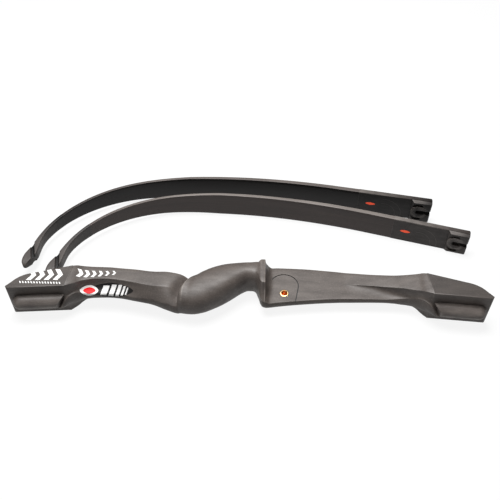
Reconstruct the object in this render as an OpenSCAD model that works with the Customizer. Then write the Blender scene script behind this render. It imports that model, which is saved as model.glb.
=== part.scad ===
// Take-down recurve bow, laid out in its three assemblies.
// The riser lies on its side in front, with its upper end at +X, its belly towards -Y
// and the sight window facing up. Both limbs stand on edge behind it, tips to the left.
// The origin is below the middle of the whole layout, on the surface it lies on.

/* [Riser] */
// Length of the riser over both end blocks
riser_len = 567; // [550:1:600]
// Height of the end blocks, across the bow
block_w = 47.8; // [46:0.2:56]
// Length of the belly face of an end block
block_len = 67.4; // [66:0.1:76]
// Depth of an end block at its inner shoulder, belly to back
block_depth = 31.4; // [29:0.1:36]
// Length of the back face of an end block
pad_len = 60.6; // [58:0.1:66]
// Angle of the limb pad to the riser
pad_angle = 16.1; // [12:0.1:20]
// Angle of the belly face of an end block to the riser
belly_angle = 4.4; // [0:0.1:5]
// Radius of the rib on the belly face of an end block
rib_r = 8.8; // [6:0.1:10]
// How far the rib stands out of the belly face
rib_out = 12.1; // [10:0.1:14]
// Distance of the rib's inner end from the block's inner shoulder
rib_from_shoulder = 8.5; // [7:0.1:10]
// Slope of the rib's inner end
rib_cut_angle = 14; // [8:1:18]
// Width of both arms, across the bow
arm_w = 32; // [26:1:36]
// Width of the grip, across the bow
grip_w = 40; // [34:1:44]
// Height of the sight window's face above the surface
window_z = 20; // [17:0.5:24]
// Distance of the arrow shelf from the middle of the riser
shelf_x = 27; // [22:1:32]
// Length of the flat face of the sight window
window_len = 88; // [80:1:100]
// Distance of the heel of the grip from the middle of the riser
heel_x = 84; // [76:1:86]
// Rounding of the long edges
edge_r = 2.8; // [1.5:0.1:4]

/* [Plunger bushing] */
// Distance of the bushing from the arrow shelf
bushing_from_shelf = 15.4; // [12:0.1:20]
// Distance of the bushing from the riser's middle line
bushing_y = 2.2; // [0:0.1:6]
// Diameter of the bushing's flange
bushing_flange_d = 10.3; // [10:0.1:12]
// Diameter of the bushing's body
bushing_d = 9; // [8.4:0.1:9.4]
// Diameter of the threaded hole at the thread's crests
bushing_bore_d = 6.9; // [6:0.1:7.4]
// Height of the flange above the window face
bushing_proud = 0.4; // [0.2:0.1:1]

/* [Limb bolts] */
// Diameter of the bolt's shank
bolt_d = 6; // [5:0.5:6]
// Diameter of the bolt's head
bolt_head_d = 15; // [12:0.5:18]
// Height of the bolt's head
bolt_head_h = 4.5; // [3.5:0.5:6]
// Width of the hexagon socket across its flats
bolt_hex = 5; // [4:0.5:6]
// Diameter of the threaded insert
insert_d = 9; // [8:0.5:10]
// Length of the threaded insert
insert_len = 9; // [7:0.5:9]

/* [Limbs] */
// Length of a limb along its curve
limb_len = 599; // [590:1:620]
// Width of the blade at the butt
blade_w = 35.4; // [33:0.2:36]
// Width of the limb at the string groove
tip_w = 12.8; // [12:0.2:15]
// Thickness of the blade at the butt
blade_t = 6.4; // [6.2:0.1:7]
// Thickness of the blade at its thinnest
blade_t_thin = 3.8; // [3.6:0.1:5]
// Distance from the butt to the point where the blade starts to narrow
taper_start = 328; // [300:1:360]
// Length of the moulded butt
butt_len = 97; // [92:1:104]
// Wall of the moulded butt outside the blade
butt_wall = 0.3; // [0.3:0.1:0.8]
// Length of the thick block at the butt's end
fork_len = 27; // [26:0.5:30]
// Thickness of that block
fork_t = 11; // [10.4:0.1:11.6]
// How far the block's edges slope inwards towards its seat
fork_draft = 2; // [1:0.1:2.4]
// Width of the open slot for the limb bolt
slot_w = 6.6; // [6.6:0.1:7.4]
// Distance from the butt's end to the centre of the slot's round end
slot_len = 16.5; // [15:0.5:17]
// Diameter of the raised seat round the slot
seat_d = 19; // [18:0.5:20]
// Width of the hollow round the seat
moat_w = 4.5; // [3:0.5:5]
// Curvature of the blade where it leaves the butt, in 1/m
curve_root = 0.96; // [0.7:0.01:1.2]
// Curvature at the start of the recurve, in 1/m
curve_mid = 1.34; // [1:0.01:1.6]
// Curvature after the first part of the recurve, in 1/m
curve_bend = 4.92; // [4.4:0.01:5.4]
// Curvature at the tip end of the recurve, in 1/m
curve_tip = 8.5; // [7.6:0.1:9]
// Distance from the end of the tip to the string groove
groove_from_end = 27.5; // [26:0.5:32]
// Width of the string groove
groove_w = 5; // [4:0.2:5.6]
// Depth of the string groove into each edge
groove_depth = 3; // [2.6:0.1:3.4]
// Angle between the string groove and the limb
groove_angle = 26; // [24:0.5:30]

/* [Fits] */
// Gap between the limb and the walls of its channel
limb_gap = 0.3; // [0.2:0.05:0.6]
// Gap round parts moulded or pressed into each other
seat_gap = 0.1; // [0.05:0.05:0.2]

/* [Layout] */
// Distance from the riser's middle line to the rear limb's butt
rear_limb_y = 150.4; // [148:0.2:170]
// Distance from the riser's middle to the rear limb's butt
rear_limb_x = 239.6; // [230:0.2:250]
// Turn of the rear limb away from the riser's line
rear_limb_turn = 9.9; // [8:0.1:11]
// Distance from the riser's middle line to the front limb's butt
front_limb_y = 93.4; // [92:0.2:98]
// Distance from the riser's middle to the front limb's butt
front_limb_x = 279.4; // [272:0.2:284]
// Turn of the front limb away from the riser's line
front_limb_turn = 14.6; // [13:0.1:15]

/* [Hidden] */

moulded = "#4d4947";
limb_black = "#3a3635";
brass = "#d9a95c";
steel = "#8d8f93";

mid = block_w / 2;

// Riser outline, in the riser's own frame

corner_cut = 2;
x_end = riser_len / 2;
belly_y = -15.3;
near_in = [x_end - corner_cut - block_len, belly_y];
near_out = [x_end - corner_cut, belly_y - block_len * tan(belly_angle)];
end_corner = near_out + corner_cut * [1, 1.3];
back_in = [near_in[0] - 4.1, belly_y + block_depth];
back_out = back_in + pad_len * [cos(pad_angle), -sin(pad_angle)];

// Places along the riser: the arms stretch between the end blocks and the grip
x_low = -near_in[0];
x_heel = -heel_x;
x_window = shelf_x + window_len;
x_high = near_in[0];
function low(share) = x_low + (x_heel - x_low) * share;
function high(share) = x_window + (x_high - x_window) * share;

arm = arm_w / 2;
grip = grip_w / 2;
face = window_z - mid;
flush = mid - 0.1;

// Sections along the riser. Each row gives the place along the riser, then across it
// (towards the back) the back edge, the upper crease, the belly edge and the lower crease,
// then as heights from the middle plane the top, the upper and lower corner of the belly
// edge and the bottom, then how hollow the side is (0 to 1), how oval the section is
// (0 to 1), how far its back runs ahead along the riser, and the radius of its back corners.
ROWS = [
  [x_low - 13.6, 9, -13, -14, -8, flush, -6.2, -6.8, -flush, 1, 0, 0, 0],
  [x_low - 11.4, 11, -13.5, -25, -11, flush, -6.2, -6.8, -flush, 1, 0, 0, 0],
  [x_low - 8.5, 11.8, -15.3, -25.8, -15.3, flush, -5.4, -7.2, -flush, 1, 0, 0, 0],
  [x_low - 6.5, 12.4, -15.2, -25.6, -15.2, flush, -3, -6.9, -flush, 1, 0, 0, 0],
  [x_low - 2.4, 13.6, -15, -23.6, -15, flush, 4, -5.6, -flush, 1, 0, 0, 0],
  [x_low - 0.2, 14.2, -14.9, -21.6, -14.9, flush, 6.6, -5.2, -flush, 1, 0, 0, 0],
  [x_low + 1.9, 15.2, -13.8, -19.6, -13.9, flush - 0.4, 8, -5.2, -flush + 0.8, 1, 0, 0, 0.4],
  [x_low + 7.6, 18.6, -9.6, -15, -10.4, arm + 5.4, 8.8, -8.4, -arm - 5, 0.95, 0, 0, 1.4],
  [x_low + 12, 20.2, -5.4, -12.2, -6.8, arm + 3.2, 7.2, -9.4, -arm - 3, 0.95, 0, 0, 2],
  [x_low + 18.2, 21.4, -1, -10.4, -3, arm + 1.2, 4, -8, -arm - 0.8, 0.9, 0, 0, 2.6],
  [low(0.23), 22, 2.4, -9.8, 0.8, arm, 2.6, -6, -arm, 0.9, 0, 0, edge_r],
  [low(0.35), 21.8, 3, -9.8, 1.4, arm, 3.5, -5, -arm, 0.75, 0, 0, edge_r],
  [low(0.46), 20.6, 1.6, -11, 0.8, arm, 3.5, -4.5, -arm, 0.45, 0, 0, edge_r],
  [low(0.6), 19.2, -1.6, -14.8, -1, arm, 3.5, -4, -arm, 0.2, 0, 0, edge_r],
  [low(0.73), 17, -5, -17.8, -5, arm, 4.5, -4.5, -arm, 0, 0, 0, edge_r],
  [low(0.785), 16.6, -6, -19, -6, arm, 5, -6, -arm, 0, 0, 0.05, edge_r],
  [low(0.846), 17.2, -6.4, -21.8, -6.4, arm, 5, -7, -arm, 0, 0.05, 0.3, edge_r],
  [low(0.892), 16.8, -6.4, -24, -6.4, arm - 0.4, 5, -8, -arm - 0.4, 0, 0.15, 0.6, edge_r],
  [low(0.93), 16, -6.2, -25.4, -6.4, arm - 2, 4.6, -9, -arm - 1, 0, 0.25, 1.0, edge_r],
  [low(0.96), 14.8, -6, -26.6, -6, arm - 5, 4, -9.6, -arm - 1.8, 0, 0.35, 1.3, edge_r],
  [low(0.985), 13.4, -6, -27.2, -6, arm - 7.8, 3.6, -10, -arm - 2.6, 0, 0.5, 1.5, edge_r],
  [low(0.997), 13, -6, -27.4, -6, arm - 8.8, 3.6, -10, -arm - 3, 0, 0.65, 1.58, edge_r],
  [-heel_x + 0.7, 13.4, -6, -27.6, -6, arm - 6.6, 4.6, -10, -grip + 0.8, 0, 0.9, 1.6, edge_r],
  [-heel_x + 2, 15.4, -5, -27.8, -5, arm - 1, 5.4, -9, -grip + 0.6, 0, 1, 1.55, edge_r],
  [-heel_x + 5, 18.4, -4, -28.6, -4, arm + 2.6, 6, -8, -grip + 0.4, 0, 1, 1.35, edge_r],
  [-heel_x + 10, 21.6, -2, -29.4, -2, grip - 1.8, 6, -6, -grip + 0.2, 0, 1, 1.05, edge_r],
  [-66, 25.2, 0, -30, 0, grip - 0.6, 6, -6, -grip, 0, 1, 0.65, edge_r],
  [-54, 30.4, 3, -27.6, 3, grip, 6, -6, -grip, 0, 1, 0.35, edge_r],
  [-42, 33.8, 6, -21.6, 6, grip, 6, -6, -grip, 0, 1, 0.15, edge_r],
  [-30, 36.4, 12, -13.8, 12, grip - 0.2, 6, -6, -grip, 0, 1, 0.05, edge_r],
  [-18, 37.6, 16, -3.6, 16, grip - 0.6, 6, -6, -grip, 0, 1, 0, edge_r],
  [-9, 38.2, 18, 4.6, 18, grip - 1, 6, -6, -grip, 0, 1, 0, edge_r],
  [-1, 38.6, 20, 9.2, 20, grip - 1.4, 6, -6, -grip, 0, 1, 0, edge_r],
  [shelf_x - 22.5, 39.4, 20, 9, 20, grip - 1.6, 6, -6, -grip, 0, 1, 0, edge_r],
  [shelf_x - 18.5, 40, 18, 5.8, 18, grip - 1.6, 6, -8, -grip, 0, 0.95, 0, 4],
  [shelf_x - 16.4, 39.6, 12, -1, 15, grip - 1.2, 4, -10, -grip, 0, 0.8, 0, 6],
  [shelf_x - 14.8, 40, 6, -5, 12, grip - 0.2, 3, -11, -grip, 0.2, 0.45, 0, 8],
  [shelf_x - 13.4, 40.3, 2, -9.4, 8, grip + 0.2, 2, -11.6, -grip, 0.4, 0.22, 0, 9],
  [shelf_x - 11.6, 40.4, 0, -12.8, 4, grip + 0.2, 1, -12, -grip, 0.5, 0.15, 0, 9],
  [shelf_x - 9.4, 40.4, 0, -14.4, 0, grip + 0.2, 0, -12, -grip, 0.5, 0.15, 0, 9],
  [shelf_x - 8, 40.6, 0, -14.7, -1, grip - 0.4, 0, -12, -grip, 0.4, 0.15, 0, 9],
  [shelf_x - 7.2, 41.4, 0, -14.7, -1, face + 15, -0.6, -12, -grip, 0.4, 0.1, 0, 7],
  [shelf_x - 6.4, 42, 2, -14.6, -1.4, face + 10.4, -1, -12, -grip, 0.3, 0.05, 0, 5],
  [shelf_x - 4.8, 42.6, 5, -14.5, -1.6, face + 5.8, -2.4, -12, -grip, 0.2, 0, 0, 3],
  [shelf_x - 2.4, 42.6, 10, -14.2, -2, face + 2, face + 0.2, -12, -grip, 0.2, 0, 0, edge_r],
  [shelf_x, 42.2, 14, -13.6, -2, face + 0.4, face + 0.1, -12.4, -grip, 0, 0, 0, edge_r],
  [shelf_x + 1.6, 42.2, 14, -13.3, -2, face, face, -12.4, -grip, 0, 0, 0, edge_r],
  [shelf_x + 6, 42.6, 16, -12.4, -1.5, face, face, -12.4, -grip, 0, 0, 0, edge_r],
  [shelf_x + 0.4 * window_len, 42, 16.6, -8.7, 1, face, face, -12, -grip, 0, 0, 0, edge_r],
  [shelf_x + 0.8 * window_len, 39.4, 16.8, -5.3, 5, face, face, -12, -grip + 1, 0, 0, 0, edge_r],
  [high(0), 37.6, 16.7, -4.4, 6, face, face, -12, -grip + 2, 1, 0, 0, edge_r],
  [high(0.15), 34.6, 15.2, -4.2, 5, face + 2.4, face, -11.6, -grip + 3, 1, 0, 0, edge_r],
  [high(0.32), 31.5, 12.6, -4, 4.6, face + 4.8, face, -11.2, -arm - 0.6, 1, 0, 0, edge_r],
  [high(0.46), 28.5, 9, -4, 5.6, face + 8, face, -11, -arm, 1, 0, 0, edge_r],
  [high(0.6), 25.1, 5, -4, 4.8, face + 12, face + 1, -12, -arm, 1, 0, 0, edge_r],
  [high(0.71), 22.6, 0.8, -4.4, 1.6, face + 16, face + 3, -13.4, -arm, 0.9, 0, 0, 2.6],
  [x_high - 18.8, 20.8, -4, -6.8, -3, face + 19.6, 3, -12.6, -arm - 0.4, 0.85, 0, 0, 2.2],
  [x_high - 12, 19.4, -7.2, -10.8, -6.4, flush - 5.2, 7.4, -11, -arm - 2.4, 0.9, 0, 0, 1.8],
  [x_high - 7.6, 18, -10.4, -14.8, -9.8, flush - 2.4, 8.8, -9.2, -arm - 4.8, 0.95, 0, 0, 1.4],
  [x_high - 1.9, 15.2, -13.8, -19.6, -13.9, flush - 0.4, 8, -5.2, -flush + 0.8, 1, 0, 0, 0.4],
  [x_high + 0.2, 14.2, -14.9, -21.6, -14.9, flush, 6.6, -5.2, -flush, 1, 0, 0, 0],
  [x_high + 2.4, 13.6, -15, -23.6, -15, flush, 4, -5.6, -flush, 1, 0, 0, 0],
  [x_high + 6.5, 12.4, -15.2, -25.6, -15.2, flush, -3, -6.9, -flush, 1, 0, 0, 0],
  [x_high + 8.5, 11.8, -15.3, -25.8, -15.3, flush, -5.4, -7.2, -flush, 1, 0, 0, 0],
  [x_high + 11.4, 11, -13.5, -25, -11, flush, -6.2, -6.8, -flush, 1, 0, 0, 0],
  [x_high + 13.6, 9, -13, -14, -8, flush, -6.2, -6.8, -flush, 1, 0, 0, 0]
];
row_count = len(ROWS);
cols = len(ROWS[0]);

// Smooth curve through the rows that never swings past them
function step(i) = ROWS[i + 1][0] - ROWS[i][0];
function slope(i, c) = (ROWS[i + 1][c] - ROWS[i][c]) / step(i);
function tangent(i, c) =
  i == 0 ? slope(0, c)
  : i == row_count - 1 ? slope(row_count - 2, c)
  : slope(i - 1, c) * slope(i, c) <= 0 ? 0
  : 2 / (1 / slope(i - 1, c) + 1 / slope(i, c));
function between(i, t, c) =
  let (a = ROWS[i][c], b = ROWS[i + 1][c], h = step(i), ta = tangent(i, c), tb = tangent(i + 1, c))
  (2 * t ^ 3 - 3 * t ^ 2 + 1) * a + (t ^ 3 - 2 * t ^ 2 + t) * h * ta
    + (3 * t ^ 2 - 2 * t ^ 3) * b + (t ^ 3 - t ^ 2) * h * tb;
function row_at(i, t) = [for (c = [0:cols - 1]) c == 0 ? ROWS[i][0] + step(i) * t : between(i, t, c)];

// Longest step between two sections
section_step = 6.5;
SECTIONS = [
  for (i = [0:row_count - 2])
    let (n = ceil(step(i) / section_step))
      for (k = [0:n - 1]) row_at(i, k / n),
  ROWS[row_count - 1]
];

// Points round one section, from the back corner over the top to the belly and back
corner_n = 3;
top_n = 3;
side_n = 6;
belly_n = 4;
function bezier(a, b, c, t) = (1 - t) ^ 2 * a + 2 * t * (1 - t) * b + t ^ 2 * c;
function side(crease, corner, hollow, t) =
  let (bend = (crease + corner) / 2 * (1 - hollow) + [crease[0], corner[1]] * hollow)
  bezier(crease, bend, corner, t);
function flat_ring(r) =
  let (
    back = r[1], bottom = r[8], top = r[5],
    er = max(0.1, min(r[12], (back - max(r[2], r[4])) / 2)),
    low_corner = [r[3], r[7]], high_corner = [r[3], r[6]],
    round_out = min(1.4, (r[6] - r[7]) / 8)
  )
  concat(
    [for (k = [0:corner_n]) [back - er, top - er] + er * [cos(90 * k / corner_n), sin(90 * k / corner_n)]],
    [for (k = [1:top_n]) [back - er + (r[2] - back + er) * k / top_n, top]],
    [for (k = [1:side_n]) side([r[2], top], high_corner, r[9], k / side_n)],
    [for (k = [1:belly_n - 1]) let (t = k / belly_n)
      [r[3] - round_out * sin(180 * t), r[6] + (r[7] - r[6]) * t]],
    [for (k = [0:side_n - 1]) side([r[4], bottom], low_corner, r[9], 1 - k / side_n)],
    [for (k = [0:top_n - 1]) [r[4] + (back - er - r[4]) * k / top_n, bottom]],
    [for (k = [0:corner_n]) [back - er, bottom + er] + er * [sin(90 * k / corner_n), -cos(90 * k / corner_n)]]
  );
// The same points pushed out to an oval, as far as the row asks
oval_power = 2.4;
lean_reach = 80;
function oval_ring(r, ring) =
  let (
    centre = [(r[1] + r[3]) / 2, (r[5] + r[8]) / 2],
    half = [(r[1] - r[3]) / 2, (r[5] - r[8]) / 2]
  )
  [for (p = ring)
    let (
      v = [(p[0] - centre[0]) / half[0], (p[1] - centre[1]) / half[1]],
      reach = (abs(v[0]) ^ oval_power + abs(v[1]) ^ oval_power) ^ (1 / oval_power),
      out = [centre[0] + half[0] * v[0] / reach, centre[1] + half[1] * v[1] / reach]
    )
    p + (out - p) * r[10]];
function ring_at(r) =
  let (ring = oval_ring(r, flat_ring(r)))
  [for (p = ring) [r[0] + r[11] * max(0, p[0] + 16) ^ 2 / lean_reach, p[0], mid + p[1]]];

// Closed solid through rings of the same number of points
module loft(rings) {
  n = len(rings[0]);
  last = len(rings) - 1;
  polyhedron(
    points = [for (ring = rings) for (p = ring) p],
    faces = concat(
      [[for (k = [0:n - 1]) k]],
      [for (i = [0:last - 1]) for (k = [0:n - 1])
        let (a = i * n + k, b = i * n + (k + 1) % n)
          [a, a + n, b + n, b]],
      [[for (k = [n - 1:-1:0]) last * n + k]]
    ),
    convexity = 8
  );
}

// From a point on the limb pad: u runs outwards along the pad, v out of its back, w across
module on_pad() {
  translate([back_in[0], back_in[1], mid]) rotate([0, 0, -pad_angle]) children();
}

channel_depth = fork_t - 1;
channel_w = blade_w + 2 * butt_wall + 2 * limb_gap;
channel_wall = 2.5;
bolt_u = channel_wall + limb_gap + slot_len;
head_v = fork_t - channel_depth + limb_gap;

module end_block() {
  linear_extrude(block_w) polygon(concat(
    [near_in, back_in],
    [for (k = [0:4]) bezier(back_out + 14 * [-cos(pad_angle), sin(pad_angle)], back_out + [1.4, 0.6],
      back_out + 0.55 * (end_corner - back_out), k / 4)],
    [end_corner, near_out]
  ));
  belly_rib();
}

// What is cut out of an end block
module end_cuts() {
  on_pad() {
    // Channel for the limb's butt, open at the back and at the end
    translate([channel_wall, -channel_depth, -channel_w / 2])
      cube([pad_len + block_depth, channel_depth + 20, channel_w]);
    // Bore for the threaded insert
    translate([bolt_u, -channel_depth + 1, 0]) rotate([90, 0, 0])
      cylinder(d = insert_d + 2 * seat_gap, h = insert_len + 1, $fn = 48);
  }
}

rib_len = block_len - rib_r - 2.6;
// Rib with a round end along the belly face, cut off on a slant at its inner end
module belly_rib() {
  axis_out = rib_out - rib_r;
  length = rib_len;
  translate([near_in[0], near_in[1], mid]) rotate([0, 0, -belly_angle])
    difference() {
      union() {
        translate([0, -axis_out, 0]) rotate([0, 90, 0]) cylinder(r = rib_r, h = length, $fn = 64);
        translate([length, -axis_out, 0]) sphere(r = rib_r, $fn = 64);
        translate([0, -axis_out, -rib_r]) cube([length, axis_out + 1, 2 * rib_r]);
        translate([length, 1, 0]) rotate([90, 0, 0]) cylinder(r = rib_r, h = axis_out + 1, $fn = 64);
      }
      translate([rib_from_shoulder, 0, 0]) rotate([0, -rib_cut_angle, 0])
        translate([-40, -rib_out - 20, -30]) cube([40, rib_out + 19, 60]);
    }
}

bushing_x = shelf_x + bushing_from_shelf;
arc_r = 17.6;
bushing_bottom = mid - grip + 0.3;

module riser_shape() {
  difference() {
    union() {
      loft([for (r = SECTIONS) ring_at(r)]);
      end_block();
      mirror([1, 0, 0]) end_block();
    }
    end_cuts();
    mirror([1, 0, 0]) end_cuts();
    translate([bushing_x, bushing_y, -1])
      cylinder(d = bushing_d + 2 * seat_gap, h = block_w, $fn = 64);
    window_line();
  }
}

// Fine line cut into the window's face, round the bushing
module window_line() {
  line_w = 0.9;
  line_cut = 0.5;
  above_bushing = 11.6;
  arc_start = 15.4;
  line_run = 24;
  past = 2 * arc_r;
  translate([bushing_x, bushing_y + above_bushing, window_z - line_cut]) {
    difference() {
      cylinder(r = arc_r, h = 3, $fn = 72);
      translate([0, 0, -1]) cylinder(r = arc_r - line_w, h = 5, $fn = 72);
      translate([-past, -2 * past, -1]) cube([2 * past, 2 * past, 5]);
      translate([-past, -1, -1]) cube([past - arc_start, past, 5]);
    }
    rotate([0, 0, -10]) translate([arc_r - line_w - 0.2, -line_run, 0]) cube([line_w, line_run, 3]);
  }
}

module on_layout() {
  translate([-layout_x, -layout_y, 0]) children();
}

module riser() {
  color(moulded) on_layout() riser_shape();
}

module plunger_bushing() {
  color(brass) on_layout() translate([bushing_x, bushing_y, 0])
    difference() {
      union() {
        translate([0, 0, bushing_bottom]) cylinder(d = bushing_d, h = window_z - bushing_bottom, $fn = 64);
        translate([0, 0, window_z]) cylinder(d = bushing_flange_d, h = bushing_proud, $fn = 64);
      }
      translate([0, 0, bushing_bottom - 1]) cylinder(d = bushing_bore_d, h = window_z + 2, $fn = 64);
    }
}

module bolt_insert() {
  on_pad() translate([bolt_u, -channel_depth, 0]) rotate([90, 0, 0])
    difference() {
      cylinder(d = insert_d, h = insert_len - seat_gap, $fn = 48);
      translate([0, 0, -1]) cylinder(d = bolt_d + 2 * seat_gap, h = insert_len + 2, $fn = 48);
    }
}

module limb_bolt() {
  on_pad() translate([bolt_u, head_v, 0]) rotate([90, 0, 0])
    difference() {
      union() {
        cylinder(d = bolt_d, h = head_v + channel_depth + insert_len - 1, $fn = 48);
        translate([0, 0, -bolt_head_h + 1]) cylinder(d = bolt_head_d, h = bolt_head_h - 1, $fn = 64);
        translate([0, 0, -bolt_head_h])
          cylinder(d1 = bolt_head_d - 2, d2 = bolt_head_d, h = 1, $fn = 64);
      }
      translate([0, 0, -bolt_head_h - 1])
        cylinder(d = bolt_hex / cos(30), h = 1 + 0.6 * bolt_head_h, $fn = 6);
    }
}

module upper_bolt_insert() {
  color(brass) on_layout() bolt_insert();
}

module lower_bolt_insert() {
  color(brass) on_layout() mirror([1, 0, 0]) bolt_insert();
}

module upper_limb_bolt() {
  color(steel) on_layout() limb_bolt();
}

module lower_limb_bolt() {
  color(steel) on_layout() mirror([1, 0, 0]) limb_bolt();
}

// Limb, in its own frame: s runs from the butt to the tip, the hollow side faces +Y

recurve_start = taper_start + 2;
recurve_bend = recurve_start + 80;
groove_s = limb_len - groove_from_end;
curve_end = limb_len;
straight_len = butt_len + 33;
butt_w = blade_w + 2 * butt_wall;
butt_t = blade_t + 2 * butt_wall;
limb_z = butt_w / 2;

function curvature(s) =
  s < straight_len || s > curve_end ? 0
  : lookup(s, [
      [straight_len, curve_root], [recurve_start, curve_mid],
      [recurve_bend, curve_bend], [curve_end, curve_tip]
    ]) / 1000;

// Heading and place of the limb's middle line, every curve_step along it
curve_step = 4;
curve_n = ceil(limb_len / curve_step);
HEADINGS = [
  for (i = 0, a = 0; i <= curve_n; i = i + 1,
    a = a + curvature((i - 0.5) * curve_step) * curve_step * 180 / PI) a
];
PLACES = [
  for (i = 0, p = [0, 0]; i <= curve_n; i = i + 1,
    p = i > curve_n ? p : p + curve_step * [
      cos((HEADINGS[i - 1] + HEADINGS[i]) / 2), sin((HEADINGS[i - 1] + HEADINGS[i]) / 2)]) p
];
function heading(s) =
  let (i = min(floor(s / curve_step), curve_n - 1), t = s / curve_step - i)
  HEADINGS[i] + (HEADINGS[i + 1] - HEADINGS[i]) * t;
function place(s) =
  let (i = min(floor(s / curve_step), curve_n - 1), t = s / curve_step - i)
  PLACES[i] + (PLACES[i + 1] - PLACES[i]) * t;
// Point at s along the limb and v towards its hollow side
function on_limb(s, v) = place(s) + v * [-sin(heading(s)), cos(heading(s))];

function blade_width(s) =
  s < taper_start ? blade_w : blade_w + (tip_w - blade_w) * (s - taper_start) / (groove_s - taper_start);
function blade_thick(s) = lookup(s, [
  [0, blade_t], [butt_len, blade_t], [taper_start, blade_t_thin + 0.4], [recurve_bend, blade_t_thin],
  [limb_len, blade_t_thin]
]);

// Ring of a rectangle with cut corners, square to the limb at s
function blade_ring(s, w, t) =
  let (
    c = min(0.5, t / 6),
    corners = [
      [t / 2, -w / 2 + c], [t / 2, w / 2 - c], [t / 2 - c, w / 2], [-t / 2 + c, w / 2],
      [-t / 2, w / 2 - c], [-t / 2, -w / 2 + c], [-t / 2 + c, -w / 2], [t / 2 - c, -w / 2]
    ]
  )
  [for (q = corners) let (p = on_limb(s, q[0])) [p[0], p[1], limb_z + q[1]]];

tongue_len = 60;
tongue_thin = 1.3;
tip_start = groove_s - 62;
tip_tongue = 26;
blade_stations = 54;
function blade_s(k) = butt_len + (tip_start - butt_len) * k / blade_stations;
module blade_shape() {
  inset = 2 * tongue_thin;
  last = tip_start;
  loft(concat(
    [for (s = [butt_len - tongue_len, butt_len - 0.02])
      blade_ring(s, blade_w - inset, blade_t - inset)],
    [for (k = [0:blade_stations])
      let (s = blade_s(k))
        blade_ring(s, blade_width(s), blade_thick(s))],
    [for (k = [0:4])
      let (s = last + 0.02 + (tip_tongue - 0.02) * k / 4)
        blade_ring(s, blade_width(s) - inset, blade_thick(s) - inset)]
  ));
}

module butt_shape() {
  tongue_w = blade_w - 2 * tongue_thin + 2 * seat_gap;
  tongue_t = blade_t - 2 * tongue_thin + 2 * seat_gap;
  under = -butt_t / 2;
  top = fork_t + under;
  slope = 3.6;
  difference() {
    union() {
      // Sleeve with slightly broken edges
      translate([0, under, 0.6]) cube([butt_len, butt_t, butt_w - 1.2]);
      translate([0, under + 0.6, 0]) cube([butt_len, butt_t - 1.2, butt_w]);
      // Thick block with a sloping step and sloping edges, hollowed round the seat
      difference() {
        intersection() {
          linear_extrude(butt_w)
            polygon([[0, 0], [0, top], [fork_len - slope, top], [fork_len, butt_t / 2 - 0.6], [fork_len, 0]]);
          rotate([90, 0, 90]) linear_extrude(fork_len)
            polygon([
              [0, 0.3], [butt_t / 2, 0.3], [top, fork_draft],
              [top, butt_w - fork_draft], [butt_t / 2, butt_w - 0.3], [0, butt_w - 0.3]
            ]);
        }
        translate([slot_len, butt_t / 2, limb_z]) rotate([-90, 0, 0])
          cylinder(d = seat_d + 2 * moat_w, h = fork_t, $fn = 64);
      }
      // Raised round seat, and the cheeks beside the slot
      translate([slot_len, 0, limb_z]) rotate([-90, 0, 0]) cylinder(d = seat_d, h = top, $fn = 64);
      translate([0, 0, limb_z - seat_d / 2]) cube([slot_len, top, seat_d]);
      translate([0, 0, limb_z - seat_d / 2 - moat_w]) cube([slot_len - 5, top, seat_d + 2 * moat_w]);
    }
    // Open slot for the limb bolt
    translate([slot_len, -butt_t, limb_z]) rotate([-90, 0, 0])
      cylinder(d = slot_w, h = 2 * fork_t + butt_t, $fn = 48);
    translate([-1, -butt_t, limb_z - slot_w / 2]) cube([slot_len + 1, 2 * fork_t + butt_t, slot_w]);
    // Pocket for the blade's tongue
    translate([butt_len - tongue_len - seat_gap, -tongue_t / 2, limb_z - tongue_w / 2])
      cube([tongue_len + 1, tongue_t, tongue_w]);
    // Broken corners of the outer end
    translate([0, top, -1]) rotate([0, 0, 45]) cube([2, 2, 3 * butt_w], center = true);
    translate([0, under, -1]) rotate([0, 0, 45]) cube([2.4, 2.4, 3 * butt_w], center = true);
    for (z = [0, butt_w])
      translate([0, 0, z]) rotate([0, 45, 0]) cube([2, 60, 2], center = true);
  }
}

// Moulded tip: each row gives the place along the limb from the string groove, how far it
// reaches to the belly side and to the hollow side of the limb, and half its width
root_half = blade_t_thin / 2 + butt_wall;
TIP = [
  [tip_start - groove_s, root_half, root_half, blade_width(tip_start) / 2 + butt_wall],
  [-50, root_half, root_half, blade_width(groove_s - 50) / 2 + butt_wall],
  [-38, root_half, root_half + 0.3, blade_width(groove_s - 38) / 2 + butt_wall],
  [-28, root_half, root_half + 0.8, tip_w / 2 + 1.4],
  [-19, root_half, root_half + 1.8, tip_w / 2 + 0.9],
  [-12, root_half, root_half + 3, tip_w / 2 + 0.5],
  [-6, root_half + 0.2, root_half + 4.2, tip_w / 2 + 0.3],
  [0, root_half + 0.8, root_half + 5.2, tip_w / 2 + 0.1],
  [5, root_half + 2, root_half + 5.8, tip_w / 2],
  [10, root_half + 3.4, root_half + 5.2, tip_w / 2],
  [15, root_half + 4.1, root_half + 3.7, tip_w / 2 - 0.2],
  [18, root_half + 4.3, root_half + 2.3, tip_w / 2 - 0.5],
  [21, root_half + 4.3, root_half + 0.7, tip_w / 2 - 1.1],
  [24, root_half + 3.4, root_half - 0.9, tip_w / 2 - 2.1],
  [26.2, root_half + 2, root_half - 1.8, tip_w / 2 - 3.3],
  [groove_from_end, root_half + 0.6, root_half - 2.1, tip_w / 2 - 4.6]
];
tip_edge = 1.1;

function tip_ring(r) =
  let (
    s = groove_s + r[0], back = r[2], front = -r[1], w = r[3], c = min(tip_edge, (back - front) / 5),
    corners = [
      [back, -w + c], [back, w - c], [back - c, w], [front + c, w],
      [front, w - c], [front, -w + c], [front + c, -w], [back - c, -w]
    ]
  )
  [for (q = corners) let (p = on_limb(s, q[0])) [p[0], p[1], limb_z + q[1]]];

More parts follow.
